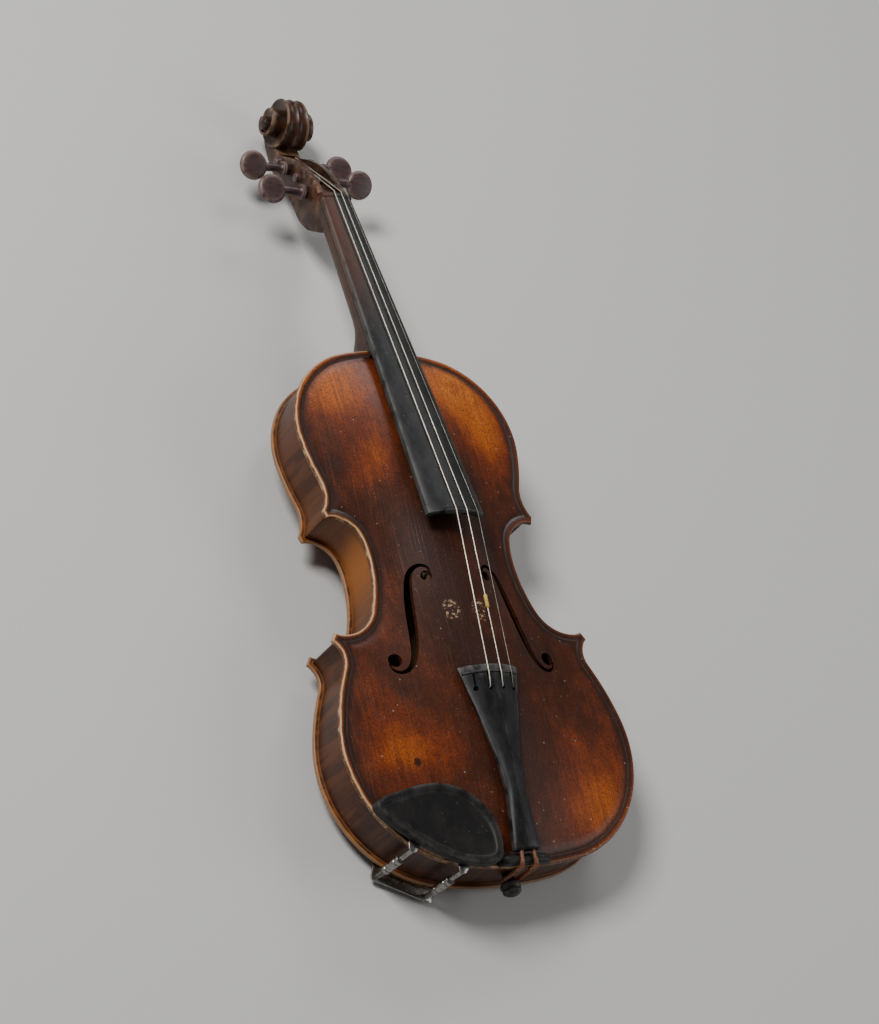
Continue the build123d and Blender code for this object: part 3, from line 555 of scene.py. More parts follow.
def loft(name, loops, wearAndHighlight=None):
    # a grid drawn over closed loops of equal length, its two ends filled
    rows, columns = len(loops), len(loops[0])
    bpy.ops.object.select_all(action="DESELECT")
    bpy.ops.mesh.primitive_grid_add(x_subdivisions=columns, y_subdivisions=rows - 1, size=2)
    piece = bpy.context.object
    piece.name = name
    places = [place for loop in loops for place in [*loop, loop[0]]]
    piece.data.vertices.foreach_set("co", np.array(places, float).ravel())
    if wearAndHighlight:
        worn = [value for row in wearAndHighlight for value in [*row, row[0]]]
        piece.data.attributes.new("wearAndHighlight", "FLOAT", "POINT").data.foreach_set("value", worn)
    bpy.ops.object.mode_set(mode="EDIT")
    bpy.ops.mesh.select_all(action="SELECT")
    bpy.ops.mesh.remove_doubles(threshold=0.002)
    bpy.ops.mesh.select_all(action="SELECT")
    bpy.ops.mesh.fill_holes(sides=0)
    bpy.ops.mesh.select_all(action="SELECT")
    bpy.ops.mesh.normals_make_consistent(inside=False)
    bpy.ops.object.mode_set(mode="OBJECT")
    return piece


def turned(name, middle, along, profile, steps=40, wearAndHighlight=None):
    # a piece turned on a lathe: (distance along, radius) pairs
    along = Vector(along).normalized()
    across = along.orthogonal().normalized()
    other = along.cross(across)
    loops = []
    for reach, radius in profile:
        loops.append([Vector(middle) + along * reach
                      + (across * cos(2 * pi * n / steps) + other * sin(2 * pi * n / steps)) * radius
                      for n in range(steps)])
    marks = [[value] * steps for value in wearAndHighlight] if wearAndHighlight else None
    return loft(name, loops, marks)


def join(first, *others):
    pick(first)
    for other in others:
        other.select_set(True)
    bpy.ops.object.join()
    return first


def modify(piece, kind, **settings):
    pick(piece)
    made = piece.modifiers.new(kind.lower(), kind)
    for name, value in settings.items():
        setattr(made, name, value)
    bpy.ops.object.modifier_apply(modifier=made.name)


def cut(piece, *cutters):
    for cutter in cutters:
        modify(piece, "BOOLEAN", object=cutter, operation="DIFFERENCE", solver="EXACT")
        bpy.data.objects.remove(cutter, do_unlink=True)


def tube(name, points, radius, smooth=False, sides=3):
    # a round rod or string along a line of points
    curve = bpy.data.curves.new(name, "CURVE")
    curve.dimensions = "3D"
    line = curve.splines.new("NURBS" if smooth else "POLY")
    line.points.add(len(points) - 1)
    for target, point in zip(line.points, points):
        target.co = (*point, 1)
    if smooth:
        line.order_u = 3
        line.use_endpoint_u = True
        line.resolution_u = 6
    curve.bevel_depth = radius
    curve.bevel_resolution = sides
    curve.use_fill_caps = True
    made = bpy.data.objects.new(name, curve)
    bpy.context.collection.objects.link(made)
    pick(made)
    bpy.ops.object.convert(target="MESH")
    return bpy.context.object


def finishPiece(piece, rides, slot, replaced, angle=40):
    piece.data.transform(toRow)
    pick(piece)
    bpy.ops.object.shade_smooth_by_angle(angle=radians(angle))
    piece.data.materials.clear()
    piece.data.materials.append(finishes[slot])
    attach(piece, rides)
    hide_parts(*replaced)


def arcPoints(start, heading, arcs, step):
    # points along tangent arcs, a positive sweep turning left
    points = [start]
    x, y = start
    for radius, sweep in arcs:
        side = 1 if sweep > 0 else -1
        cx = x - side * radius * sin(heading)
        cy = y + side * radius * cos(heading)
        count = max(3, round(radius * abs(radians(sweep)) / step))
        for n in range(1, count + 1):
            turn = heading + radians(sweep) * n / count
            points.append((cx + side * radius * sin(turn), cy - side * radius * cos(turn)))
        heading += radians(sweep)
        x, y = points[-1]
    return points


def straight(start, end, step):
    count = max(2, round(sqrt((end[0] - start[0]) ** 2 + (end[1] - start[1]) ** 2) / step))
    return [(start[0] + (end[0] - start[0]) * n / count, start[1] + (end[1] - start[1]) * n / count)
            for n in range(1, count)]


def bodyOutline():
    step = body["outlineStep"]
    low = arcPoints((0, 0), 0, body["lowerBout"], step)
    high = arcPoints((0, body["length"]), 0, body["upperBout"], step)
    rise = arcPoints(body["waist"], pi / 2, body["waistToUpper"], step * 0.8)
    fall = arcPoints(body["waist"], -pi / 2, body["waistToLower"], step * 0.8)
    half = (low + straight(low[-1], fall[-1], 0.7) + fall[::-1] + rise[1:]
            + straight(rise[-1], high[-1], 0.7) + high[::-1])
    other = [(-x, y) for x, y in half[-2:0:-1]]
    return np.array(half + other)


def awayFrom(points, line):
    # distance to a closed line, positive inside it
    nearest = np.full(len(points), 1e9)
    crossings = np.zeros(len(points), int)
    for (ax, ay), (bx, by) in zip(line, np.roll(line, -1, axis=0)):
        dx, dy = bx - ax, by - ay
        share = ((points[:, 0] - ax) * dx + (points[:, 1] - ay) * dy) / (dx * dx + dy * dy + 1e-12)
        share = np.clip(share, 0, 1)
        reach = np.hypot(points[:, 0] - ax - share * dx, points[:, 1] - ay - share * dy)
        nearest = np.minimum(nearest, reach)
        between = (ay > points[:, 1]) != (by > points[:, 1])
        if abs(dy) > 1e-12:
            crossings += between & (points[:, 0] < ax + (points[:, 1] - ay) * dx / dy)
    return np.where(crossings % 2 == 1, nearest, -nearest)


def insetPoints(line, inset):
    ahead = np.roll(line, -1, axis=0) - line
    ahead /= np.linalg.norm(ahead, axis=1)[:, None]
    behind = np.roll(ahead, 1, axis=0)
    normal = np.column_stack((-(ahead + behind)[:, 1], (ahead + behind)[:, 0]))
    size = np.linalg.norm(normal, axis=1)[:, None]
    return line + normal / size * inset * np.minimum(2 / size, 1.6)


soundHole = {
    "stem": [(19.4, 189.0, 1.2), (20.4, 192.4, 1.7), (24.3, 194.6, 2.3), (29.0, 193.0, 3.1),
             (32.6, 187.3, 4.2), (35.4, 176.0, 5.4), (37.8, 161.5, 6.0), (39.9, 147.5, 5.5),
             (42.8, 135.0, 4.3), (47.2, 126.9, 3.2), (52.8, 124.2, 2.4), (57.8, 126.0, 1.7),
             (59.8, 130.4, 1.2)],
    "eyes": [((22.0, 187.0), 3.4), ((55.6, 132.6), 4.4)],
    "nick": (38.0, 160.5, 4.3, 0.9),     # middle, half width, half height
}


def smoothRun(before, start, end, after, parts):
    # points from start towards end, on a smooth line through all four
    shares = [n / parts for n in range(parts)]
    return [0.5 * (2 * start + (end - before) * t + (2 * before - 5 * start + 4 * end - after) * t * t
                   + (3 * start - before - 3 * end + after) * t ** 3) for t in shares]


def soften(points, parts):
    # a smooth line through the points, this many parts to a run
    points = np.array(points, float)
    padded = np.vstack((2 * points[0] - points[1], points, 2 * points[-1] - points[-2]))
    made = []
    for k in range(1, len(padded) - 2):
        made += smoothRun(*padded[k - 1:k + 3], parts)
    made.append(points[-1])
    return np.array(made)


def holeLines(side):
    stem = soften(soundHole["stem"], 4)
    ahead = np.gradient(stem[:, :2], axis=0)
    ahead /= np.linalg.norm(ahead, axis=1)[:, None]
    across = np.column_stack((-ahead[:, 1], ahead[:, 0])) * stem[:, 2:3] / 2
    lines = [np.vstack((stem[:, :2] + across, (stem[:, :2] - across)[::-1]))]
    for (x, y), radius in soundHole["eyes"]:
        lines.append(np.array([(x + radius * cos(2 * pi * n / 28), y + radius * sin(2 * pi * n / 28))
                               for n in range(28)]))
    x, y, wide, tall = soundHole["nick"]
    lines.append(np.array([(x - wide, y), (x, y - tall), (x + wide, y), (x, y + tall)]))
    return [line * (side, 1) for line in lines]


plate = {
    "insets": [0.25, 0.7, 1.3, 2.0, 2.9, 4.0, 4.65, 5.3, 6.4, 8.0, 10.0, 12.5],
    "roundOver": 1.7,         # the rim's rounding
    "channelDepth": 0.75,
    "channelAt": 6.0,
    "liningReach": 5.8,       # where the hollow inside starts
    "inlay": (3.97, 5.33),
    "inlayDepth": 1.9,
}


def plateSurface(x, y, away, rise, outer):
    arch = np.array([arching(a, b, rise) for a, b in zip(x, y)])
    if outer:
        lack = np.clip((plate["roundOver"] - away) / plate["roundOver"], 0, 1)
        drop = plate["roundOver"] * (1 - np.sqrt(1 - lack ** 2)) * 0.9
        groove = np.exp(-((away - plate["channelAt"]) / 2.6) ** 2) * plate["channelDepth"]
        return body["plateEdge"] + arch - drop - groove
    lack = np.clip((1.0 - away) / 1.0, 0, 1)
    hollow = np.clip((away - plate["liningReach"]) / 1.2, 0, 1)
    return (1 - np.sqrt(1 - lack ** 2)) * 0.7 + hollow * (body["plateEdge"] - body["plateWall"] + arch)


def renumber(corners):
    # the points that the faces use, and the faces counted on those alone
    used = np.unique(corners)
    order = np.full(used[-1] + 1, -1)
    order[used] = np.arange(len(used))
    return used, order[corners]


def shellFaces(corners, count, sign):
    # faces of a sheet, of the same sheet on points that come after it, and of the walls between
    upper = corners if sign > 0 else corners[:, ::-1]
    lower = (corners[:, ::-1] if sign > 0 else corners) + count
    sides = {(int(face[n]), int(face[(n + 1) % 3])): True for face in corners for n in range(3)}
    walls = [(p, p + count, q + count, q) if sign > 0 else (q, q + count, p + count, p)
             for p, q in sides if (q, p) not in sides]
    return upper.tolist() + lower.tolist() + walls


def markPoints(piece, name, values):
    piece.data.attributes.new(name, "FLOAT", "POINT").data.foreach_set("value", values)


def makePlate(name, rise, base, sign, holes, button, slot, node):
    outline = bodyOutline()
    buttonLine = np.array([(body["buttonRadius"] * cos(2 * pi * n / 60),
                            body["length"] + body["buttonRadius"] * sin(2 * pi * n / 60))
                           for n in range(60)])
    fixed = [outline] + ([buttonLine] if button else []) + holes

    def depth(points):
        away = awayFrom(points, outline)
        if button:
            reach = np.hypot(points[:, 0], points[:, 1] - body["length"])
            away = np.maximum(away, body["buttonRadius"] - reach)
        return away

    free = []
    for inset in plate["insets"]:
        for line in fixed[:2 if button else 1]:
            ring = insetPoints(line, inset)
            free.append(ring[np.abs(depth(ring) - inset) < 0.06])
    step = body["gridStep"]
    across = np.arange(-106, 107, step)
    rows = [np.column_stack((across + (step / 2 if n % 2 else 0), np.full(len(across), y)))
            for n, y in enumerate(np.arange(2, body["length"], step * 0.87))]
    grid = np.vstack(rows)
    free.append(grid[awayFrom(grid, outline) > plate["insets"][-1] + 1.2])
    for line in holes:
        free.append(insetPoints(line, -0.7)[::2])
    points, edges = [], []
    for line in fixed:
        start = len(points)
        points += [tuple(p) for p in line]
        edges += [(start + n, start + (n + 1) % len(line)) for n in range(len(line))]
    loose = np.vstack(free)
    for line in holes:
        loose = loose[awayFrom(loose, line) < -0.35]
    points += [tuple(p) for p in loose]
    flat, _, faces, _, _, _ = delaunay_2d_cdt([Vector(p) for p in points], edges, [], 0, 1e-4)
    flat = np.array([tuple(p) for p in flat])
    corners = np.array(faces)
    middles = flat[corners].mean(axis=1)
    keep = depth(middles) > 0
    for line in holes:
        keep &= awayFrom(middles, line) < 0
    corners = corners[keep]
    used, corners = renumber(corners)
    flat = flat[used]
    a, b, c = flat[corners[:, 0]], flat[corners[:, 1]], flat[corners[:, 2]]
    area = (b[:, 0] - a[:, 0]) * (c[:, 1] - a[:, 1]) - (b[:, 1] - a[:, 1]) * (c[:, 0] - a[:, 0])
    corners[area < 0] = corners[area < 0][:, ::-1]
    away = np.maximum(depth(flat), 0)
    outer = plateSurface(flat[:, 0], flat[:, 1], away, rise, True)
    inner = plateSurface(flat[:, 0], flat[:, 1], away, rise, False)
    count = len(flat)
    both = np.vstack((np.column_stack((flat, base + sign * outer)),
                      np.column_stack((flat, base + sign * inner))))
    piece = pieceFrom(name, both.tolist(), shellFaces(corners, count, sign))
    markPoints(piece, "edge", np.concatenate((away, away)))
    hidden = np.clip((away - 2.4) / 0.5, 0, 1)
    if holes:
        near = np.min([np.abs(awayFrom(flat, line)) for line in holes], axis=0)
        hidden = np.where(near < 0.3, 0.6, hidden)
    markPoints(piece, "inside", np.concatenate((np.zeros(count), hidden)))
    # the inlaid strip is cut from the same surface
    low, high = plate["inlay"]
    strip = corners[(np.min(away[corners], axis=1) > low) & (np.max(away[corners], axis=1) < high)]
    used, strip = renumber(strip)
    lift = np.array([0, 0, sign * 0.03])
    deep = np.array([0, 0, -sign * plate["inlayDepth"]])
    line = pieceFrom("purfling" + name[0].upper() + name[1:],
                     np.vstack((both[used] + lift, both[used] + deep)).tolist(),
                     shellFaces(strip, len(used), sign))
    markPoints(line, "edge", np.concatenate((away[used], away[used])))
    finishPiece(piece, "violin", slot, [node], 50)
    finishPiece(line, "violin", "purfling", ["purfling_" + node.split("_")[0]], 50)
    print(name, "triangles about", 2 * len(corners))


holes = holeLines(1) + holeLines(-1)
makePlate("topPlate", body["topArch"], body["ribHeight"], 1, holes, False, "spruce_top", "top_plate")
makePlate("backPlate", body["backArch"], 0.0, -1, [], True, "maple_back", "back_plate")


def boardZ(y):
    fall = (neckLine["boardEndZ"] - neckLine["boardNutZ"]) / (neckLine["nutY"] - neckLine["boardEndY"])
    return neckLine["boardNutZ"] + fall * (neckLine["nutY"] - y)


def boardHalf(y):
    share = (neckLine["nutY"] - y) / (neckLine["nutY"] - neckLine["boardEndY"])
    return neckLine["boardNutHalf"] + (neckLine["boardEndHalf"] - neckLine["boardNutHalf"]) * share


def crown(half, radius):
    return radius - sqrt(max(0.0, radius ** 2 - half ** 2))


def boardRise(half, x):
    # how far the board's crowned top is over its own edge
    return crown(half, neckLine["crownRadius"]) - crown(abs(x), neckLine["crownRadius"])


def through(points, place):
    # smooth height along a few given points
    low = points[0][0]
    high = points[-1][0]
    place = min(max(place, low), high)
    line = soften(points, 8)
    return float(np.interp(place, line[:, 0], line[:, 1]))


neckValues = {
    "depth": [(350, 41.0), (366.4, 38.0), (368.2, 35.0), (370.0, 29.5), (372.2, 24.8), (375.0, 20.8),
              (379.0, 17.8), (386.0, 16.2), (400.0, 15.6), (440.0, 14.4), (470.0, 13.6), (486.0, 13.5)],
    "front": [(490.2, 19.7), (497.3, 17.6), (507.3, 13.8), (518.1, 9.0), (529.3, 1.9),
              (539.3, -7.3), (549.2, -18.5), (557.2, -21.5)],
    "back": [(466.0, 9.5), (467.6, 5.0), (470.5, 1.5), (477.0, -6.0), (486.8, -11.6), (493.5, -14.2),
             (501.2, -15.9), (515.2, -20.0), (531.2, -27.0), (545.2, -33.0), (559.2, -35.2),
             (573.0, -35.3)],
    "floor": [(491.7, -0.5), (505.2, -8.5), (525.2, -16.0), (537.2, -23.5), (545.2, -26.5),
              (550.7, -24.0)],
    "boxHalf": (11.8, 8.4),
    "cheek": 4.6,
    "mouthY": (491.7, 550.7),
}
pegs = {
    "g": {"side": -1, "y": 500.7, "z": 4.8, "turn": 20.0},
    "e": {"side": 1, "y": 517.2, "z": -1.0, "turn": 35.0},
    "d": {"side": -1, "y": 531.2, "z": -10.5, "turn": 28.0},
    "a": {"side": 1, "y": 543.7, "z": -19.5, "turn": 15.0},
}
pegValues = {
    "middle": 3.6,
    "taper": 0.3 / 11.8,
    "gap": 0.05,
    "far": 14.0,
    "headX": 38.0,
    "taperEnd": 12.8,
    # from the middle outwards, radius, after the taper
    "shaft": [(13.7, 4.5), (13.9, 5.1), (14.6, 5.2), (14.9, 4.6), (15.2, 5.0), (15.9, 5.1),
              (16.4, 4.4), (17.4, 3.5), (19.5, 2.9), (22.5, 2.7), (25.5, 2.95), (28.2, 3.0), (31, 2.6),
              (34, 2.0), (36, 0)],
    "shaftWear": [0.3, 0.5, 0.3, 0, 0.3, 1, 0.9, 0.2, 0.9, 0.8, 0.2, 0, 0, 0, 0, 0.3, 0, 0, 0],
    # half of the head: across its thickness, radius
    "head": [(-2.95, 0), (-2.9, 3.6), (-2.75, 6.6), (-2.4, 8.6), (-1.75, 9.7), (-0.8, 10.2), (0, 10.3)],
    # the head's rim is marked pale: wear, and a painted highlight round the rim
    "headWearAndHighlight": [0.05, 0.05, 0.1, 0.45, 1, 0.8, 0.3],
}


def pegRadius(reach):
    return pegValues["middle"] + pegValues["taper"] * reach


def neckShaft():
    depths = neckValues["depth"]
    stations = [350, 356, 362, 365, 366.4, 367.3, 368.2, 369, 370, 371, 372.2, 373.5, 375, 377, 379, 382,
                386, 392] + list(range(400, 481, 8)) + [486]
    loops = []
    for y in stations:
        top = boardZ(y) - neckLine["boardSide"]
        half = boardHalf(y)
        depth = min(float(np.interp(y, *zip(*depths))), top)
        loop = [(half * (1 - 2 * n / 8), y, top) for n in range(9)]
        for n in range(1, 32):
            turn = pi * n / 32
            sink = depth * sin(turn) ** 0.78
            narrow = 1 + (body["buttonRadius"] / half - 1) * min(1.0, max(0.0, (sink - 12) / 26))
            loop.append((-half * narrow * (abs(cos(turn)) ** 0.9) * (1 if cos(turn) > 0 else -1),
                         y, top - 1.2 * min(1.0, sink) - sink * (1 - 1.2 / depth)))
        loops.append(loop)
    return loft("neck", loops)


def pegboxHalf(y):
    near, far = neckValues["boxHalf"]
    half = near + (far - near) * (y - 485.2) / 90
    if y < 484:
        half *= 0.62 + 0.38 * sqrt(max(0.0, (y - 466) / 18))
    return half


def pegbox():
    loops, marks = [], []
    stations = [466, 466.6, 467.6, 469, 471, 473.5, 477, 481, 485.2, 490.15, 490.25] + list(
        np.arange(492, 574, 2.6)) + [573]
    for y in stations:
        half = pegboxHalf(y)
        back = through(neckValues["back"], y)
        front = through(neckValues["front"], y) if y > 490.2 else min(boardZ(y), boardZ(485.2)) - 4.8
        flute = 1.7 * min(1.0, max(0.0, (y - 492) / 16))
        soft = min(0.9, (front - back) / 8)
        loop = [(half - 1.2, y, front), (-half + 1.2, y, front), (-half + 0.25, y, front - 0.35),
                (-half, y, front - 1.2), (-half, y, (front + back) / 2), (-half, y, back + 1.1),
                (-half + 0.5, y, back + 0.25)]
        mark = [0.7, 0.7, 1, 0.6, 0, 0.5, 1]
        for n in range(11):
            share = -1 + 2 * n / 10
            loop.append((share * (half - 1.3), y, back + flute * abs(sin(pi * share)) ** 0.8))
            mark.append(1 if n in (0, 10) else 0.75 if n == 5 else 0)
        loop += [(half - 0.5, y, back + 0.25), (half, y, back + 1.1), (half, y, (front + back) / 2),
                 (half, y, front - 1.2), (half - 0.25, y, front - 0.35)]
        mark += [1, 0.5, 0, 0.6, 1]
        loops.append(loop)
        marks.append(mark)
    box = loft("pegbox", loops, marks)
    low, high = neckValues["mouthY"]
    cavity = []
    for n in range(13):
        y = low + (high - low) * n / 12
        half = pegboxHalf(y) - neckValues["cheek"] + (1.1 if y > 540 else 0)
        bottom = through(neckValues["floor"], y)
        cavity.append([(half, y, 60), (-half, y, 60), (-half, y, bottom + 2), (-half + 1.6, y, bottom),
                       (half - 1.6, y, bottom), (half, y, bottom + 2)])
    cut(box, loft("cavity", cavity))
    for peg in pegs.values():
        along = (peg["side"], 0, 0)
        cut(box, turned("pegHole", (0, peg["y"], peg["z"]), along,
                        [(reach, pegRadius(reach) + pegValues["gap"]) for reach in (-20, 20)], 32))
    return box


scrollValues = {
    "middle": (573.0, -15.0),
    "radius": [(-90, 20.0), (0, 19.2), (90, 18.9), (180, 17.2), (270, 14.0), (360, 12.2), (450, 10.8),
               (540, 9.2), (630, 7.4), (720, 6.0), (765, 5.2)],
    "half": [(-90, 8.0), (-45, 6.9), (0, 6.9), (90, 8.2), (180, 10.2), (270, 12.5), (360, 14.6),
             (450, 16.4), (540, 17.9), (630, 18.9), (720, 19.6), (765, 19.8)],
    "step": 7.5,
    "flute": 1.5,
    "eye": 4.6,
}


def scroll():
    values = scrollValues
    middleY, middleZ = values["middle"]
    loops, marks = [], []
    turns = np.arange(-90, 765.1, values["step"])
    for turn in turns:
        radius = through(values["radius"], turn)
        half = through(values["half"], turn)
        inner = 0.5 * through(values["radius"], min(765, turn + 360))
        flute = values["flute"] * min(1.0, max(0.0, (460 - turn) / 200))
        section = [(inner, half - 0.9), (radius * 0.55 + inner * 0.45, half - 1.5),
                   (radius - 2.2, half - 0.5), (radius - 1.0, half), (radius - 0.2, half - 0.35)]
        mark = [0, 0, 0.35, 1, 1]
        for n in range(13):
            share = 1 - 2 * n / 12
            section.append((radius - flute * abs(sin(pi * share)) ** 0.8, share * (half - 1.2)))
            mark.append(1 if n in (0, 12) else 0.7 if n == 6 else 0)
        section += [(r, -x) for r, x in section[4::-1]]
        mark += mark[4::-1]
        angle = radians(turn)
        loops.append([(x, middleY + r * cos(angle), middleZ + r * sin(angle)) for r, x in section])
        marks.append(mark)
    made = loft("scroll", loops, marks)
    eyes = []
    for side in (1, -1):
        eyes.append(turned("eye", (0, middleY, middleZ), (side, 0, 0),
                           [(10, 0), (10, 4.0), (18.6, values["eye"]), (19.3, values["eye"] - 0.3),
                            (19.8, values["eye"] - 1.2), (20.0, 1.6), (20.0, 0)], 28,
                           [0, 0, 0.4, 1, 0.8, 0.3, 0.3]))
    return join(made, *eyes)


head = join(neckShaft(), pegbox(), scroll())
finishPiece(head, "violin", "maple_neck", ["neck"], 38)
print("neck and scroll made")

boardValues = {"hollowEnd": 350.0, "hollow": 3.2, "softEdge": 0.7, "endRound": 0.8}


def fingerboard():
    values = boardValues
    loops, marks = [], []
    near, far = neckLine["boardEndY"], neckLine["nutY"]
    stations = [near, near + 0.25, near + 0.9, near + 2.0]
    stations += list(np.arange(near + 6, far - 1, 8.2)) + [far]
    for y in stations:
        back = max(0.0, 1 - (y - near) / 0.9) if y < near + 0.9 else 0.0
        shrink = values["endRound"] * (1 - sqrt(1 - back ** 2))
        half = boardHalf(y) - shrink
        side = boardZ(y) - shrink
        low = boardZ(y) - neckLine["boardSide"] + shrink * 0.5
        hollow = values["hollow"] * min(1.0, max(0.0, (values["hollowEnd"] - y) / 12))
        loop, mark = [], []
        for n in range(25):
            x = half * (-1 + 2 * n / 24)
            rise = boardRise(half, x)
            dip = values["softEdge"] * (abs(x) / half) ** 24
            loop.append((x * (1 - 0.012 * (abs(x) / half) ** 24), y, side + rise - dip))
            # the edges and the end are marked pale: wear, with the pale line along the end also a painted
            # highlight
            mark.append(1 if abs(x) > 0.96 * half or y < near + 0.5 else 0)
        loop += [(half, y, side - 1.2), (half, y, low + 0.4), (half - 0.5, y, low)]
        mark += [0.4, 0.3, 0.6]
        for n in range(9):
            share = 1 - 2 * n / 8
            loop.append((share * (half - 3.2), y, low + hollow * sqrt(max(0.0, 1 - share ** 4))))
            mark.append(0)
        loop += [(-half + 0.5, y, low), (-half, y, low + 0.4), (-half, y, side - 1.2)]
        mark += [0.6, 0.3, 0.4]
        loops.append(loop)
        marks.append(mark)
    made = loft("fingerboard", loops, marks)
    finishPiece(made, "violin", "ebony", ["fingerboard"], 35)


nutValues = {
    "low": 17.75,
    # distance from the board, height over the board's top
    "profile": [(0.02, 0.5), (1.2, 0.5), (2.6, 0.3), (3.8, -0.35), (4.6, -1.3), (4.95, -2.6),
                (4.97, -4.75)],
    "grooves": (-8.0, -2.65, 2.65, 7.6),
    "grooveDepth": 0.25,
}


def nut():
    near = neckLine["nutY"]
    loops = []
    for reach, drop in nutValues["profile"]:
        half = boardHalf(near) - 0.1
        loop = []
        for n in range(33):
            x = half * (-1 + 2 * n / 32)
            rise = boardRise(half, x)
            groove = max(exp(-((x - place) / 0.35) ** 2) for place in nutValues["grooves"])
            loop.append((x, near + reach, neckLine["boardNutZ"] + drop + (rise if drop > -4 else 0)
                         - (groove * nutValues["grooveDepth"] if drop > -1 else 0)))
        loop += [(half, near + reach, nutValues["low"]), (-half, near + reach, nutValues["low"])]
        loops.append(loop)
    made = loft("nut", loops)
    finishPiece(made, "violin", "ebony", ["nut"], 35)


saddleValues = {
    "low": 30.1,
    "endHigh": 34.6,
    "rise": 3.7,
    # across, share of the rise; the other half mirrors it
    "ends": [(12.5, 1.0), (15.5, 0.85), (17.3, 0.55), (17.9, 0.25), (18, 0.0)],
    "section": [(0.85, -1.6), (1.5, -0.5), (2.8, 0), (4.6, -0.1), (6.2, -0.9), (7.25, -2.6)],
}


def saddle():
    values = saddleValues
    loops = []
    for x, share in [(-x, share) for x, share in values["ends"][::-1]] + values["ends"]:
        high = values["endHigh"] + values["rise"] * share
        loops.append([(x, values["section"][0][0], values["low"])]
                     + [(x, y, high + drop) for y, drop in values["section"]]
                     + [(x, values["section"][-1][0], values["low"])])
    made = loft("saddle", loops)
    finishPiece(made, "violin", "ebony", ["saddle"], 50)


fingerboard()
nut()
saddle()
print("fingerboard, nut and saddle made")

tail = {
    "footY": 8.0,
    # from the foot: half width, side, rise of the top, clear of the plate
    "stations": [(0.0, 9.4, 4.2, 2.1, 3.0), (17.0, 7.8, 4.4, 2.3, 2.0), (36.0, 6.3, 4.0, 2.7, 1.3),
                 (58.0, 8.8, 3.2, 3.4, 0.8), (90.0, 15.8, 2.0, 4.6, 0.6), (114.0, 21.8, 1.5, 5.6, 0.5)],
    "fretAt": 108.4,
    "fretHigh": 1.0,
    "holeAt": 99.0,
    "holeRadius": 1.6,
    "holePitch": 9.0,
    "slotWidth": 1.3,
    "slotLength": 9.0,
    "ends": [(0.0, 1.3), (0.2, 0.75), (0.7, 0.3), (1.5, 0.0)],
    "wideEnds": [(110.5, 0.0), (112.5, 0.0), (113.3, 0.2), (113.8, 0.55), (114.0, 1.0)],
}


def tailAt(distance):
    for near, far in zip(tail["stations"], tail["stations"][1:]):
        if distance <= far[0] + 1e-6:
            share = (distance - near[0]) / (far[0] - near[0])
            half, wall, rise, clear = [a + (b - a) * share for a, b in zip(near[1:], far[1:])]
            return half, wall, rise, topZ + arching(0, tail["footY"] + distance, body["topArch"]) + clear


def tailTop(x, distance, inset=0.0, lift=0.0):
    half, wall, rise, under = tailAt(distance)
    half -= inset
    radius = (half ** 2 + rise ** 2) / (2 * rise)
    return under + wall + lift + rise - crown(abs(x), radius)


def tailSection(distance, tight=0.0, count=20):
    # tight draws a section in, for the rounded ends
    half, wall, rise, under = tailAt(distance)
    y = tail["footY"] + distance
    loop, mark = [], []
    for n in range(count + 1):
        x = (half - tight) * (-1 + 2 * n / count)
        flat = abs(x) / (half - tight)
        loop.append((x, y, max(under + 0.6, tailTop(min(abs(x), half - 0.01), distance)
                               - tight * 0.8 - 0.35 * flat ** 16)))
        # pale grey marks: wear on the sides and on the end beyond the fret, and along the centre line a
        # painted highlight stripe
        mark.append(1 if flat > 0.97 or distance > 110 else 0.25 if flat < 0.02 else 0)
    loop += [(half - tight, y, under + 0.5), (half - tight - 0.5, y, under + tight * 0.3),
             (-half + tight + 0.5, y, under + tight * 0.3), (-half + tight, y, under + 0.5)]
    mark += [0.2, 0, 0, 0.2]
    return loop, mark


def tailpiece():
    stations = tail["ends"] + [(float(d), 0.0) for d in range(5, 109, 4)] + tail["wideEnds"]
    sections = [tailSection(d, tight) for d, tight in stations]
    made = loft("tailpiece", [loop for loop, mark in sections], [mark for loop, mark in sections])
    for k in range(4):
        x = (k - 1.5) * tail["holePitch"]
        y = tail["footY"] + tail["holeAt"]
        cut(made, turned("keyhole", (x, y, 30), (0, 0, 1),
                         [(0, tail["holeRadius"]), (40, tail["holeRadius"])], 24))
        wide, long = tail["slotWidth"] / 2, tail["slotLength"]
        slot = [[(x - wide, y, z), (x + wide, y, z), (x + wide, y + long, z), (x - wide, y + long, z)]
                for z in (30, 70)]
        cut(made, loft("slot", slot))
    finishPiece(made, "violin", "blackened_wood", ["tailpiece"], 35)


def tailFret():
    loops = []
    for reach, drop in ((0, 1.2), (0.05, 0.25), (0.35, 0), (1.15, 0), (1.45, 0.25), (1.5, 1.2)):
        loop = []
        distance = tail["fretAt"] + reach
        half = tailAt(tail["fretAt"])[0] - 0.4
        for n in range(21):
            x = half * (-1 + 2 * n / 20)
            loop.append((x, tail["footY"] + distance,
                         tailTop(x, tail["fretAt"], 0.4, tail["fretHigh"]) - drop))
        low = tailAt(tail["fretAt"])[3] + 1.4
        loop += [(half, tail["footY"] + distance, low), (-half, tail["footY"] + distance, low)]
        loops.append(loop)
    finishPiece(loft("tailFret", loops), "violin", "fret_strip", ["tailpiece_fret"], 40)


gutValues = {"radius": 1.3, "halfGap": 3.6, "loop": 5.12, "leadY": -1.55, "saddleZ": 39.85,
             "buttonZ": 15.0, "bindZ": 33.5, "bindPitch": 1.1}


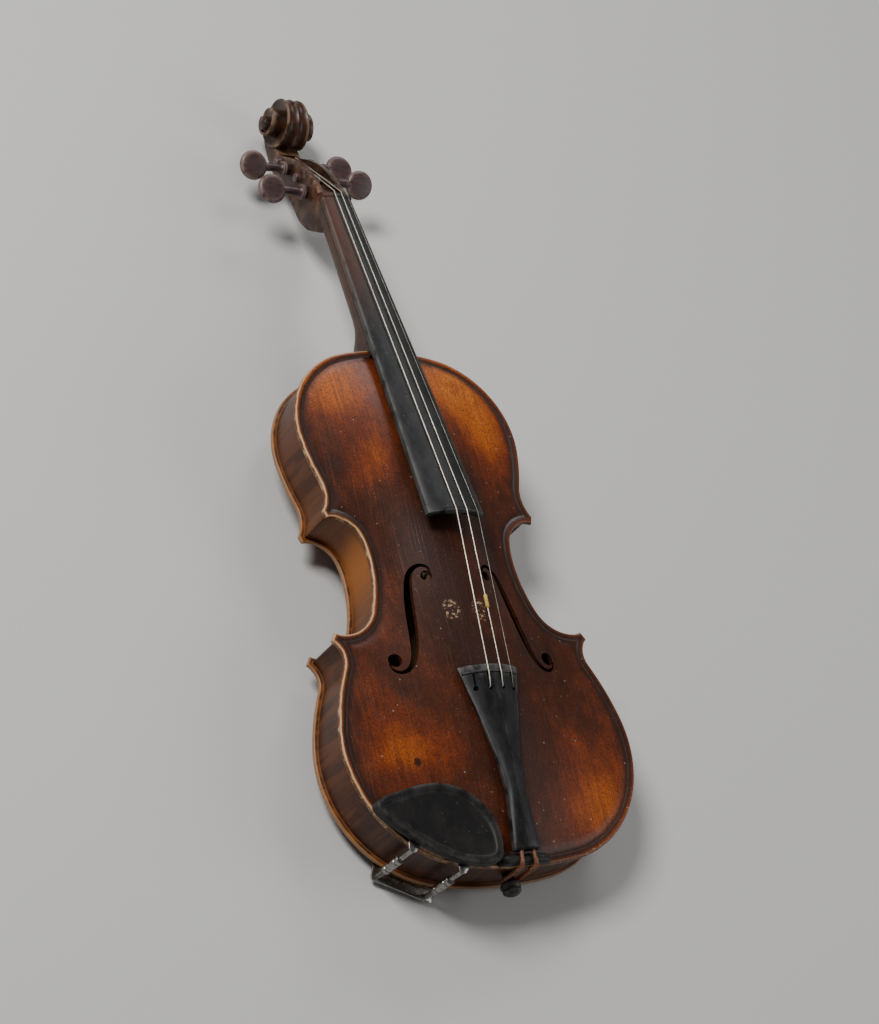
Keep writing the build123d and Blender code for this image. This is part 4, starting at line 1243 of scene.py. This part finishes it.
def tailGut():
    g = gutValues
    right = [(g["halfGap"], 16, g["saddleZ"] + 0.6), (g["halfGap"] + 0.5, 9, g["saddleZ"] + 0.35),
             (g["halfGap"] + 0.9, 4.5, g["saddleZ"] + 0.05), (g["loop"] - 0.2, 1.2, g["saddleZ"] - 0.1),
             (g["loop"], g["leadY"] + 0.1, g["saddleZ"] - 1.6), (g["loop"], g["leadY"], g["saddleZ"] - 5),
             (g["loop"], g["leadY"], g["buttonZ"] + 3)]
    loop = [(g["loop"] * cos(n * pi / 8), g["leadY"], g["buttonZ"] - g["loop"] * sin(n * pi / 8))
            for n in range(9)]
    route = right + loop + [(-x, y, z) for x, y, z in right[::-1]]
    made = tube("tailGut", route, g["radius"], True, 5)
    ties = []
    for side in (-1, 1):
        for n in range(3):
            place = (side * (g["loop"] - 0.02), g["leadY"], g["bindZ"] - g["bindPitch"] * n)
            ties.append(turned("bind", place, (0, 0, 1),
                               [(-0.5, g["radius"]), (-0.3, g["radius"] + 0.28),
                                (0.3, g["radius"] + 0.28), (0.5, g["radius"])], 18))
    finishPiece(join(made, *ties), "violin", "gut", ["tail_gut"], 60)


buttonValues = {
    # outwards from the ribs, radius
    "profile": [(-16, 0), (-16, 3.2), (-2.8, 3.6), (2.6, 3.7), (3.1, 4.4), (3.5, 5.9), (4.6, 6.5),
                (6.2, 6.35), (7.4, 5.6), (8.6, 5.9), (9.7, 5.3), (10.9, 3.6), (11.6, 1.6), (11.8, 0)],
    "wearAndHighlight": [0, 0, 0, 0, 0.2, 0.8, 1, 0.4, 0, 0.8, 0.5, 0.2, 0.1, 0.1],
}


def endButton():
    made = turned("endButton", (0, 0, gutValues["buttonZ"]), (0, -1, 0), buttonValues["profile"], 40,
                  buttonValues["wearAndHighlight"])
    finishPiece(made, "violin", "blackened_wood", ["end_button"], 40)


tailpiece()
tailFret()
tailGut()
endButton()
print("tailpiece, gut and end button made")


def makePeg(name, values):
    side = values["side"]
    along = Vector((side, 0, 0))
    middle = Vector((0, values["y"], values["z"]))
    far, taperEnd = pegValues["far"], pegValues["taperEnd"]
    profile = [(-far, 0), (-far, pegRadius(-far) - 0.7), (-far + 0.7, pegRadius(-far)),
               (taperEnd, pegRadius(taperEnd))]
    shaft = turned("peg_" + name, middle, along, profile + pegValues["shaft"], 36, pegValues["shaftWear"])
    tilt = radians(values["turn"])
    face = Vector((0, -sin(tilt), cos(tilt)))
    rim = pegValues["head"] + [(-reach, radius) for reach, radius in pegValues["head"][-2::-1]]
    rimWearAndHighlight = pegValues["headWearAndHighlight"] + pegValues["headWearAndHighlight"][-2::-1]
    disc = turned("disc", middle + along * pegValues["headX"], face, rim, 48, rimWearAndHighlight)
    made = join(shaft, disc)
    finishPiece(made, f"peg_{name}_turning", "rosewood", [f"peg_{name}"], 32)


for name, values in pegs.items():
    makePeg(name, values)
print("pegs made")

strings = {
    "d": {"radius": 0.40, "keyhole": 1, "board": -4.0, "nut": -2.65, "peg": -2.5, "slot": "wound_string"},
    "a": {"radius": 0.35, "keyhole": 2, "board": 3.8, "nut": 2.65, "peg": 1.3, "slot": "wound_string"},
    "e": {"radius": 0.20, "keyhole": 3, "board": 13.0, "nut": 7.6, "peg": 3.6, "slot": "steel_string"},
}
stringValues = {"gap": 0.15, "turns": 5, "sleeveY": 161.0, "sleeveRadius": 1.15, "sleeveLength": 8.0}


def boardTop(x, y):
    return boardZ(y) + boardRise(boardHalf(y), x)


def makeString(name, values):
    radius = values["radius"]
    peg = pegs[name]
    over = radius + stringValues["gap"]
    holeX = (values["keyhole"] - 1.5) * tail["holePitch"]
    fretZ = tailTop(holeX, tail["fretAt"], 0.4, tail["fretHigh"]) + over + 0.05
    nutY = neckLine["nutY"] + 4.2
    nutZ = boardTop(values["nut"], neckLine["nutY"]) + 0.5 + over
    reach = pegRadius(peg["side"] * values["peg"]) + 0.05 + 3 * radius + 0.3
    away = sqrt((nutY - peg["y"]) ** 2 + (nutZ - peg["z"]) ** 2)
    turn = atan2(nutZ - peg["z"], nutY - peg["y"]) - acos(reach / away)
    last = (values["peg"], peg["y"] + reach * cos(turn), peg["z"] + reach * sin(turn))
    fretY = tail["footY"] + tail["fretAt"] + 0.75
    boardEnd = (values["board"], neckLine["boardEndY"],
                boardTop(values["board"], neckLine["boardEndY"]) + over)
    route = [(holeX, tail["footY"] + tail["holeAt"], tailTop(holeX, tail["holeAt"]) - 2.2),
             (holeX, tail["footY"] + tail["holeAt"] + 0.6, tailTop(holeX, tail["holeAt"]) + 0.1),
             (holeX, fretY - 5, fretZ - 1.0), (holeX, fretY - 1.2, fretZ - 0.03),
             (holeX, fretY + 0.6, fretZ + 0.1), boardEnd, (values["nut"], nutY - 2.4, nutZ + 0.06),
             (values["nut"], nutY, nutZ - 0.1), last]
    made = tube("string_" + name, route, radius, False, 4)
    finishPiece(made, "violin", values["slot"], [f"string_{name}"], 60)
    turns = stringValues["turns"]
    coil = []
    for n in range(turns * 20 + 1):
        share = n / (turns * 20)
        x = values["peg"] + radius * (turns - 1) * (1 - 2 * share) * peg["side"]
        ring = pegRadius(peg["side"] * x) + 0.04 + radius
        angle = turn + 2 * pi * turns * share
        coil.append((x, peg["y"] + ring * cos(angle), peg["z"] + ring * sin(angle)))
    wound = tube("winding_" + name, coil, radius, False, 3)
    finishPiece(wound, f"peg_{name}_turning", values["slot"], [f"winding_{name}"], 60)
    if name == "a":
        low, high = Vector(route[4]), Vector(boardEnd)
        middle = low + (high - low) * ((stringValues["sleeveY"] - low.y) / (high.y - low.y))
        r, half = stringValues["sleeveRadius"], stringValues["sleeveLength"] / 2
        sleeve = turned("stringSleeve", middle, high - low,
                        [(-half, 0.40), (-half, r - 0.15), (-half + 0.15, r), (0, r * 0.97),
                         (half - 0.15, r), (half, r - 0.15), (half, 0.40)], 24)
        finishPiece(sleeve, "violin", "yellow_sleeve", ["string_sleeve"], 50)


for name, values in strings.items():
    makeString(name, values)
print("strings made")

chinRest = {
    "outline": [(-98.0, 38.0), (-78.0, 47.5), (-52.0, 51.0), (-31.0, 42.0), (-20.0, 22.0), (-23.5, 1.5),
                (-46.0, 1.5), (-74.0, 16.0)],
    "highCorner": (-31.0, 42.0),
    "gap": 0.45,
    "thick": 8.4,
    "middle": (-59.0, 26.0),
    "cupRadius": 170.0,
    "cupDepth": 4.0,
    # from the edge inwards, height over the low face, wear
    "side": [(4.0, 0, 0), (1.5, 0, 0), (0.4, 0.4, 0.4), (0, 1.4, 0.3)],
    # from the edge inwards, height over the cup's surface, wear
    "rim": [(0, -2.2, 0.5), (0.3, -0.9, 1), (1.0, -0.25, 1), (2.2, 0, 0.5), (3.6, 0.05, 0.2),
            (4.8, -0.05, 0.3), (5.3, -0.55, 0.9), (6.0, -0.75, 0.2)],
    "dish": 0.35,             # the cup's sink below that surface
}
chinRest["low"] = topZ + arching(*chinRest["highCorner"], body["topArch"]) + chinRest["gap"]
chinRest["high"] = chinRest["low"] + chinRest["thick"]


def closedLine(points, parts):
    # a smooth closed line through the points
    points = np.array(points, float)
    made = []
    for k in range(len(points)):
        made += smoothRun(*[points[(k + n) % len(points)] for n in (-1, 0, 1, 2)], parts)
    return np.array(made)[::-1]


def cupZ(x, y):
    middleX, middleY = chinRest["middle"]
    across = sqrt((x - middleX) ** 2 + (y - middleY) ** 2)
    return min(chinRest["high"],
               chinRest["high"] - chinRest["cupDepth"] + crown(across, chinRest["cupRadius"]))


def stepIn(line, inset):
    # each point goes in along its own ray from the middle, so that a sharp end never folds
    rays = line - np.array(chinRest["middle"])
    rays /= np.linalg.norm(rays, axis=1)[:, None]
    inward = insetPoints(line, 1.0) - line
    inward /= np.linalg.norm(inward, axis=1)[:, None]
    facing = -(inward * rays).sum(axis=1)[:, None]
    return line - rays * inset / np.maximum(facing, 0.5)


def makeChinRest():
    line = closedLine(chinRest["outline"], 16)
    middle = np.array(chinRest["middle"])
    loops, marks = [], []
    for inset, height, mark in chinRest["side"]:
        loops.append([(x, y, chinRest["low"] + height) for x, y in stepIn(line, inset)])
        marks.append([mark] * len(line))
    for inset, height, mark in chinRest["rim"]:
        ring = stepIn(line, inset)
        loops.append([(x, y, cupZ(x, y) + height) for x, y in ring])
        marks.append([mark] * len(line))
    for share in (0.96, 0.9, 0.8, 0.65, 0.5, 0.35, 0.2, 0.05):
        sink = chinRest["dish"] + 0.4 * max(0, share - 0.75) / 0.25
        loops.append([(x, y, cupZ(x, y) - sink) for x, y in middle + (ring - middle) * share])
        marks.append([0] * len(line))
    made = loft("chinRest", loops, marks)
    finishPiece(made, "violin", "chin_rest_black", ["chin_rest"], 40)


makeChinRest()

clamp = {
    "legs": [(-76.5, 13.3), (-46.5, -1.2)],
    "rod": 1.6,
    "hookLow": 16.0,
    "hookHigh": 27.0,
    "pitch": 0.7,
    # along inwards, height: the bent end of the upper rod
    "bend": [(0, 26.5), (0, 33.0), (0, 37.2), (1.6, 37.95), (5, 38.0), (10.5, 38.0)],
    "tabMiddle": 4.5,         # inwards from the rod
    "tabHalf": (3.4, 6.3),
    "tabZ": [(37.35, 0.08), (37.5, 0), (38.55, 0), (38.75, 0.08)],      # height, share drawn in
    "barrel": 2.9,
    "barrelZ": 5.0,
    "barrelLength": 19.0,
    "tommyHole": 0.9,
    "plateZ": (-6.8, -5.2),
    "plateIn": 4.0,
    "plateHalf": 7.0,
    "plateCorner": 2.4,
    "footRodHigh": 13.45,
}
legA, legB = [Vector((x, y, 0)) for x, y in clamp["legs"]]
clampAlong = (legB - legA).normalized()
clampIn = Vector((0, 0, 1)).cross(clampAlong)


def lifted(place, inwards, height):
    return place + clampIn * inwards + Vector((0, 0, height))


def threaded(name, place, low, high, radius):
    # a rod with a rolled thread
    pitch = clamp["pitch"]
    profile = [(low, 0), (low, radius - 0.3)]
    for n in range(int((high - low - 1) / pitch)):
        profile += [(low + 0.4 + pitch * n, radius - 0.22), (low + 0.75 + pitch * n, radius)]
    profile += [(high, radius - 0.25), (high, 0)]
    return turned(name, place, (0, 0, 1), profile, 20)


def clampHook(leg, place):
    rodRadius = clamp["rod"]
    rod = threaded("clampHook_" + leg, place, clamp["hookLow"], clamp["hookHigh"], rodRadius)
    arm = tube("arm", [lifted(place, *step) for step in clamp["bend"]], rodRadius * 0.5, True, 4)
    stem = turned("stem", place, (0, 0, 1),
                  [(26.5, 0), (26.5, rodRadius - 0.1), (35.4, rodRadius - 0.1), (36.8, rodRadius * 0.85),
                   (37.9, rodRadius * 0.5), (38.3, 0)], 24)
    middle = place + clampIn * clamp["tabMiddle"]
    wide, deep = clamp["tabHalf"]
    turns = [2 * pi * n / 28 for n in range(28)]
    corners = [middle + clampAlong * wide * cos(turn) + clampIn * deep * sin(turn) for turn in turns]
    tab = loft("tab", [[c + Vector((0, 0, z)) + (middle - c) * share for c in corners]
                       for z, share in clamp["tabZ"]])
    finishPiece(join(rod, arm, stem, tab), "violin", "nickel", [f"clamp_hook_{leg}"], 40)


def clampBarrel(leg, place):
    base, length, radius = clamp["barrelZ"], clamp["barrelLength"], clamp["barrel"]
    half = [(0, clamp["rod"] + 0.05), (0, radius - 0.5), (0.5, radius), (3.6, radius),
            (3.9, radius - 0.35), (4.4, radius - 0.35), (4.7, radius)]
    profile = [(base + z, r) for z, r in half] + [(base + length - z, r) for z, r in half[::-1]]
    barrel = turned("clampBarrel_" + leg, place, (0, 0, 1), profile + profile[:1], 32)
    cut(barrel, turned("tommyHole", lifted(place, 0, base + length / 2), clampAlong,
                       [(-5, clamp["tommyHole"]), (5, clamp["tommyHole"])], 20))
    finishPiece(barrel, "barrel_" + leg, "nickel", [f"clamp_barrel_{leg}"], 40)


def clampFoot():
    low, high = clamp["plateZ"]
    corner = clamp["plateCorner"]
    wide = (legB - legA).length / 2 + 4 - corner
    deep = clamp["plateHalf"] - corner
    centre = (legA + legB) / 2 + clampIn * clamp["plateIn"]
    corners = []
    for alongSide, inSide, start in ((1, 1, 0), (-1, 1, 90), (-1, -1, 180), (1, -1, 270)):
        for n in range(7):
            turn = radians(start + 15 * n)
            corners.append(centre + clampAlong * (alongSide * wide + corner * cos(turn))
                           + clampIn * (inSide * deep + corner * sin(turn)))
    footPlate = loft("clampFoot", [[c + (centre - c) * share + Vector((0, 0, z)) for c in corners]
                                   for z, share in ((low, 0.03), (low + 0.3, 0), (high - 0.3, 0),
                                                    (high, 0.03))])
    rods = [threaded("rod", place, high - 0.5, clamp["footRodHigh"], clamp["rod"])
            for place in (legA, legB)]
    finishPiece(join(footPlate, *rods), "foot", "nickel", ["clamp_foot"], 40)


for leg, place in (("a", legA), ("b", legB)):
    clampHook(leg, place)
    clampBarrel(leg, place)
clampFoot()
print("chin rest and clamp made")

# these pieces keep the shape they came with and only get a material
kept = {
    "maple_ribs": [f"rib_{zone}_{side}" for zone in ("lower", "centre", "upper")
                   for side in ("treble", "bass")],
    "bare_spruce": ["top_block", "bottom_block", "linings_top", "linings_back", "bass_bar", "sound_post"]
    + [f"corner_block_{zone}_{side}" for zone in ("lower", "upper") for side in ("treble", "bass")],
    "cork": ["chin_rest_cork", "clamp_cork"],
}
for slot, names in kept.items():
    for name in names:
        mesh = frame["nodes"][name].data
        mesh.materials.clear()
        mesh.materials.append(finishes[slot])

studio = {
    "floor": 8.0,
    "key": {"place": (-1.3, 0.6, 1.7), "size": 0.8, "power": 44},
    "fill": {"place": (1.5, -0.7, 1.1), "size": 1.2, "power": 9},
    "back": {"place": (0.8, 1.5, 1.3), "size": 0.8, "power": 10},
    "sky": 0.13,
}


def makeStudio(values):
    bpy.ops.object.select_all(action="DESELECT")
    bpy.ops.mesh.primitive_plane_add(size=values["floor"])
    floor = bpy.context.object
    floor.name = "floor"
    paper = bpy.data.materials.new("floorPaper")
    paper.use_nodes = True
    shader = paper.node_tree.nodes["Principled BSDF"]
    shader.inputs["Base Color"].default_value = colour(0.62, 0.61, 0.59)
    shader.inputs["Roughness"].default_value = 0.9
    floor.data.materials.append(paper)
    for name in ("key", "fill", "back"):
        light = values[name]
        bpy.ops.object.light_add(type="AREA", location=light["place"])
        lamp = bpy.context.object
        lamp.name = name + "Light"
        lamp.data.shape = "DISK"
        lamp.data.size = light["size"]
        lamp.data.energy = light["power"]
        lamp.rotation_euler = (-Vector(light["place"])).to_track_quat("-Z", "Y").to_euler()
    world = bpy.data.worlds.new("studioSky")
    world.use_nodes = True
    world.node_tree.nodes["Background"].inputs[0].default_value = colour(0.92, 0.95, 1.0)
    world.node_tree.nodes["Background"].inputs[1].default_value = values["sky"]
    bpy.context.scene.world = world


makeStudio(studio)
print("scene ready")
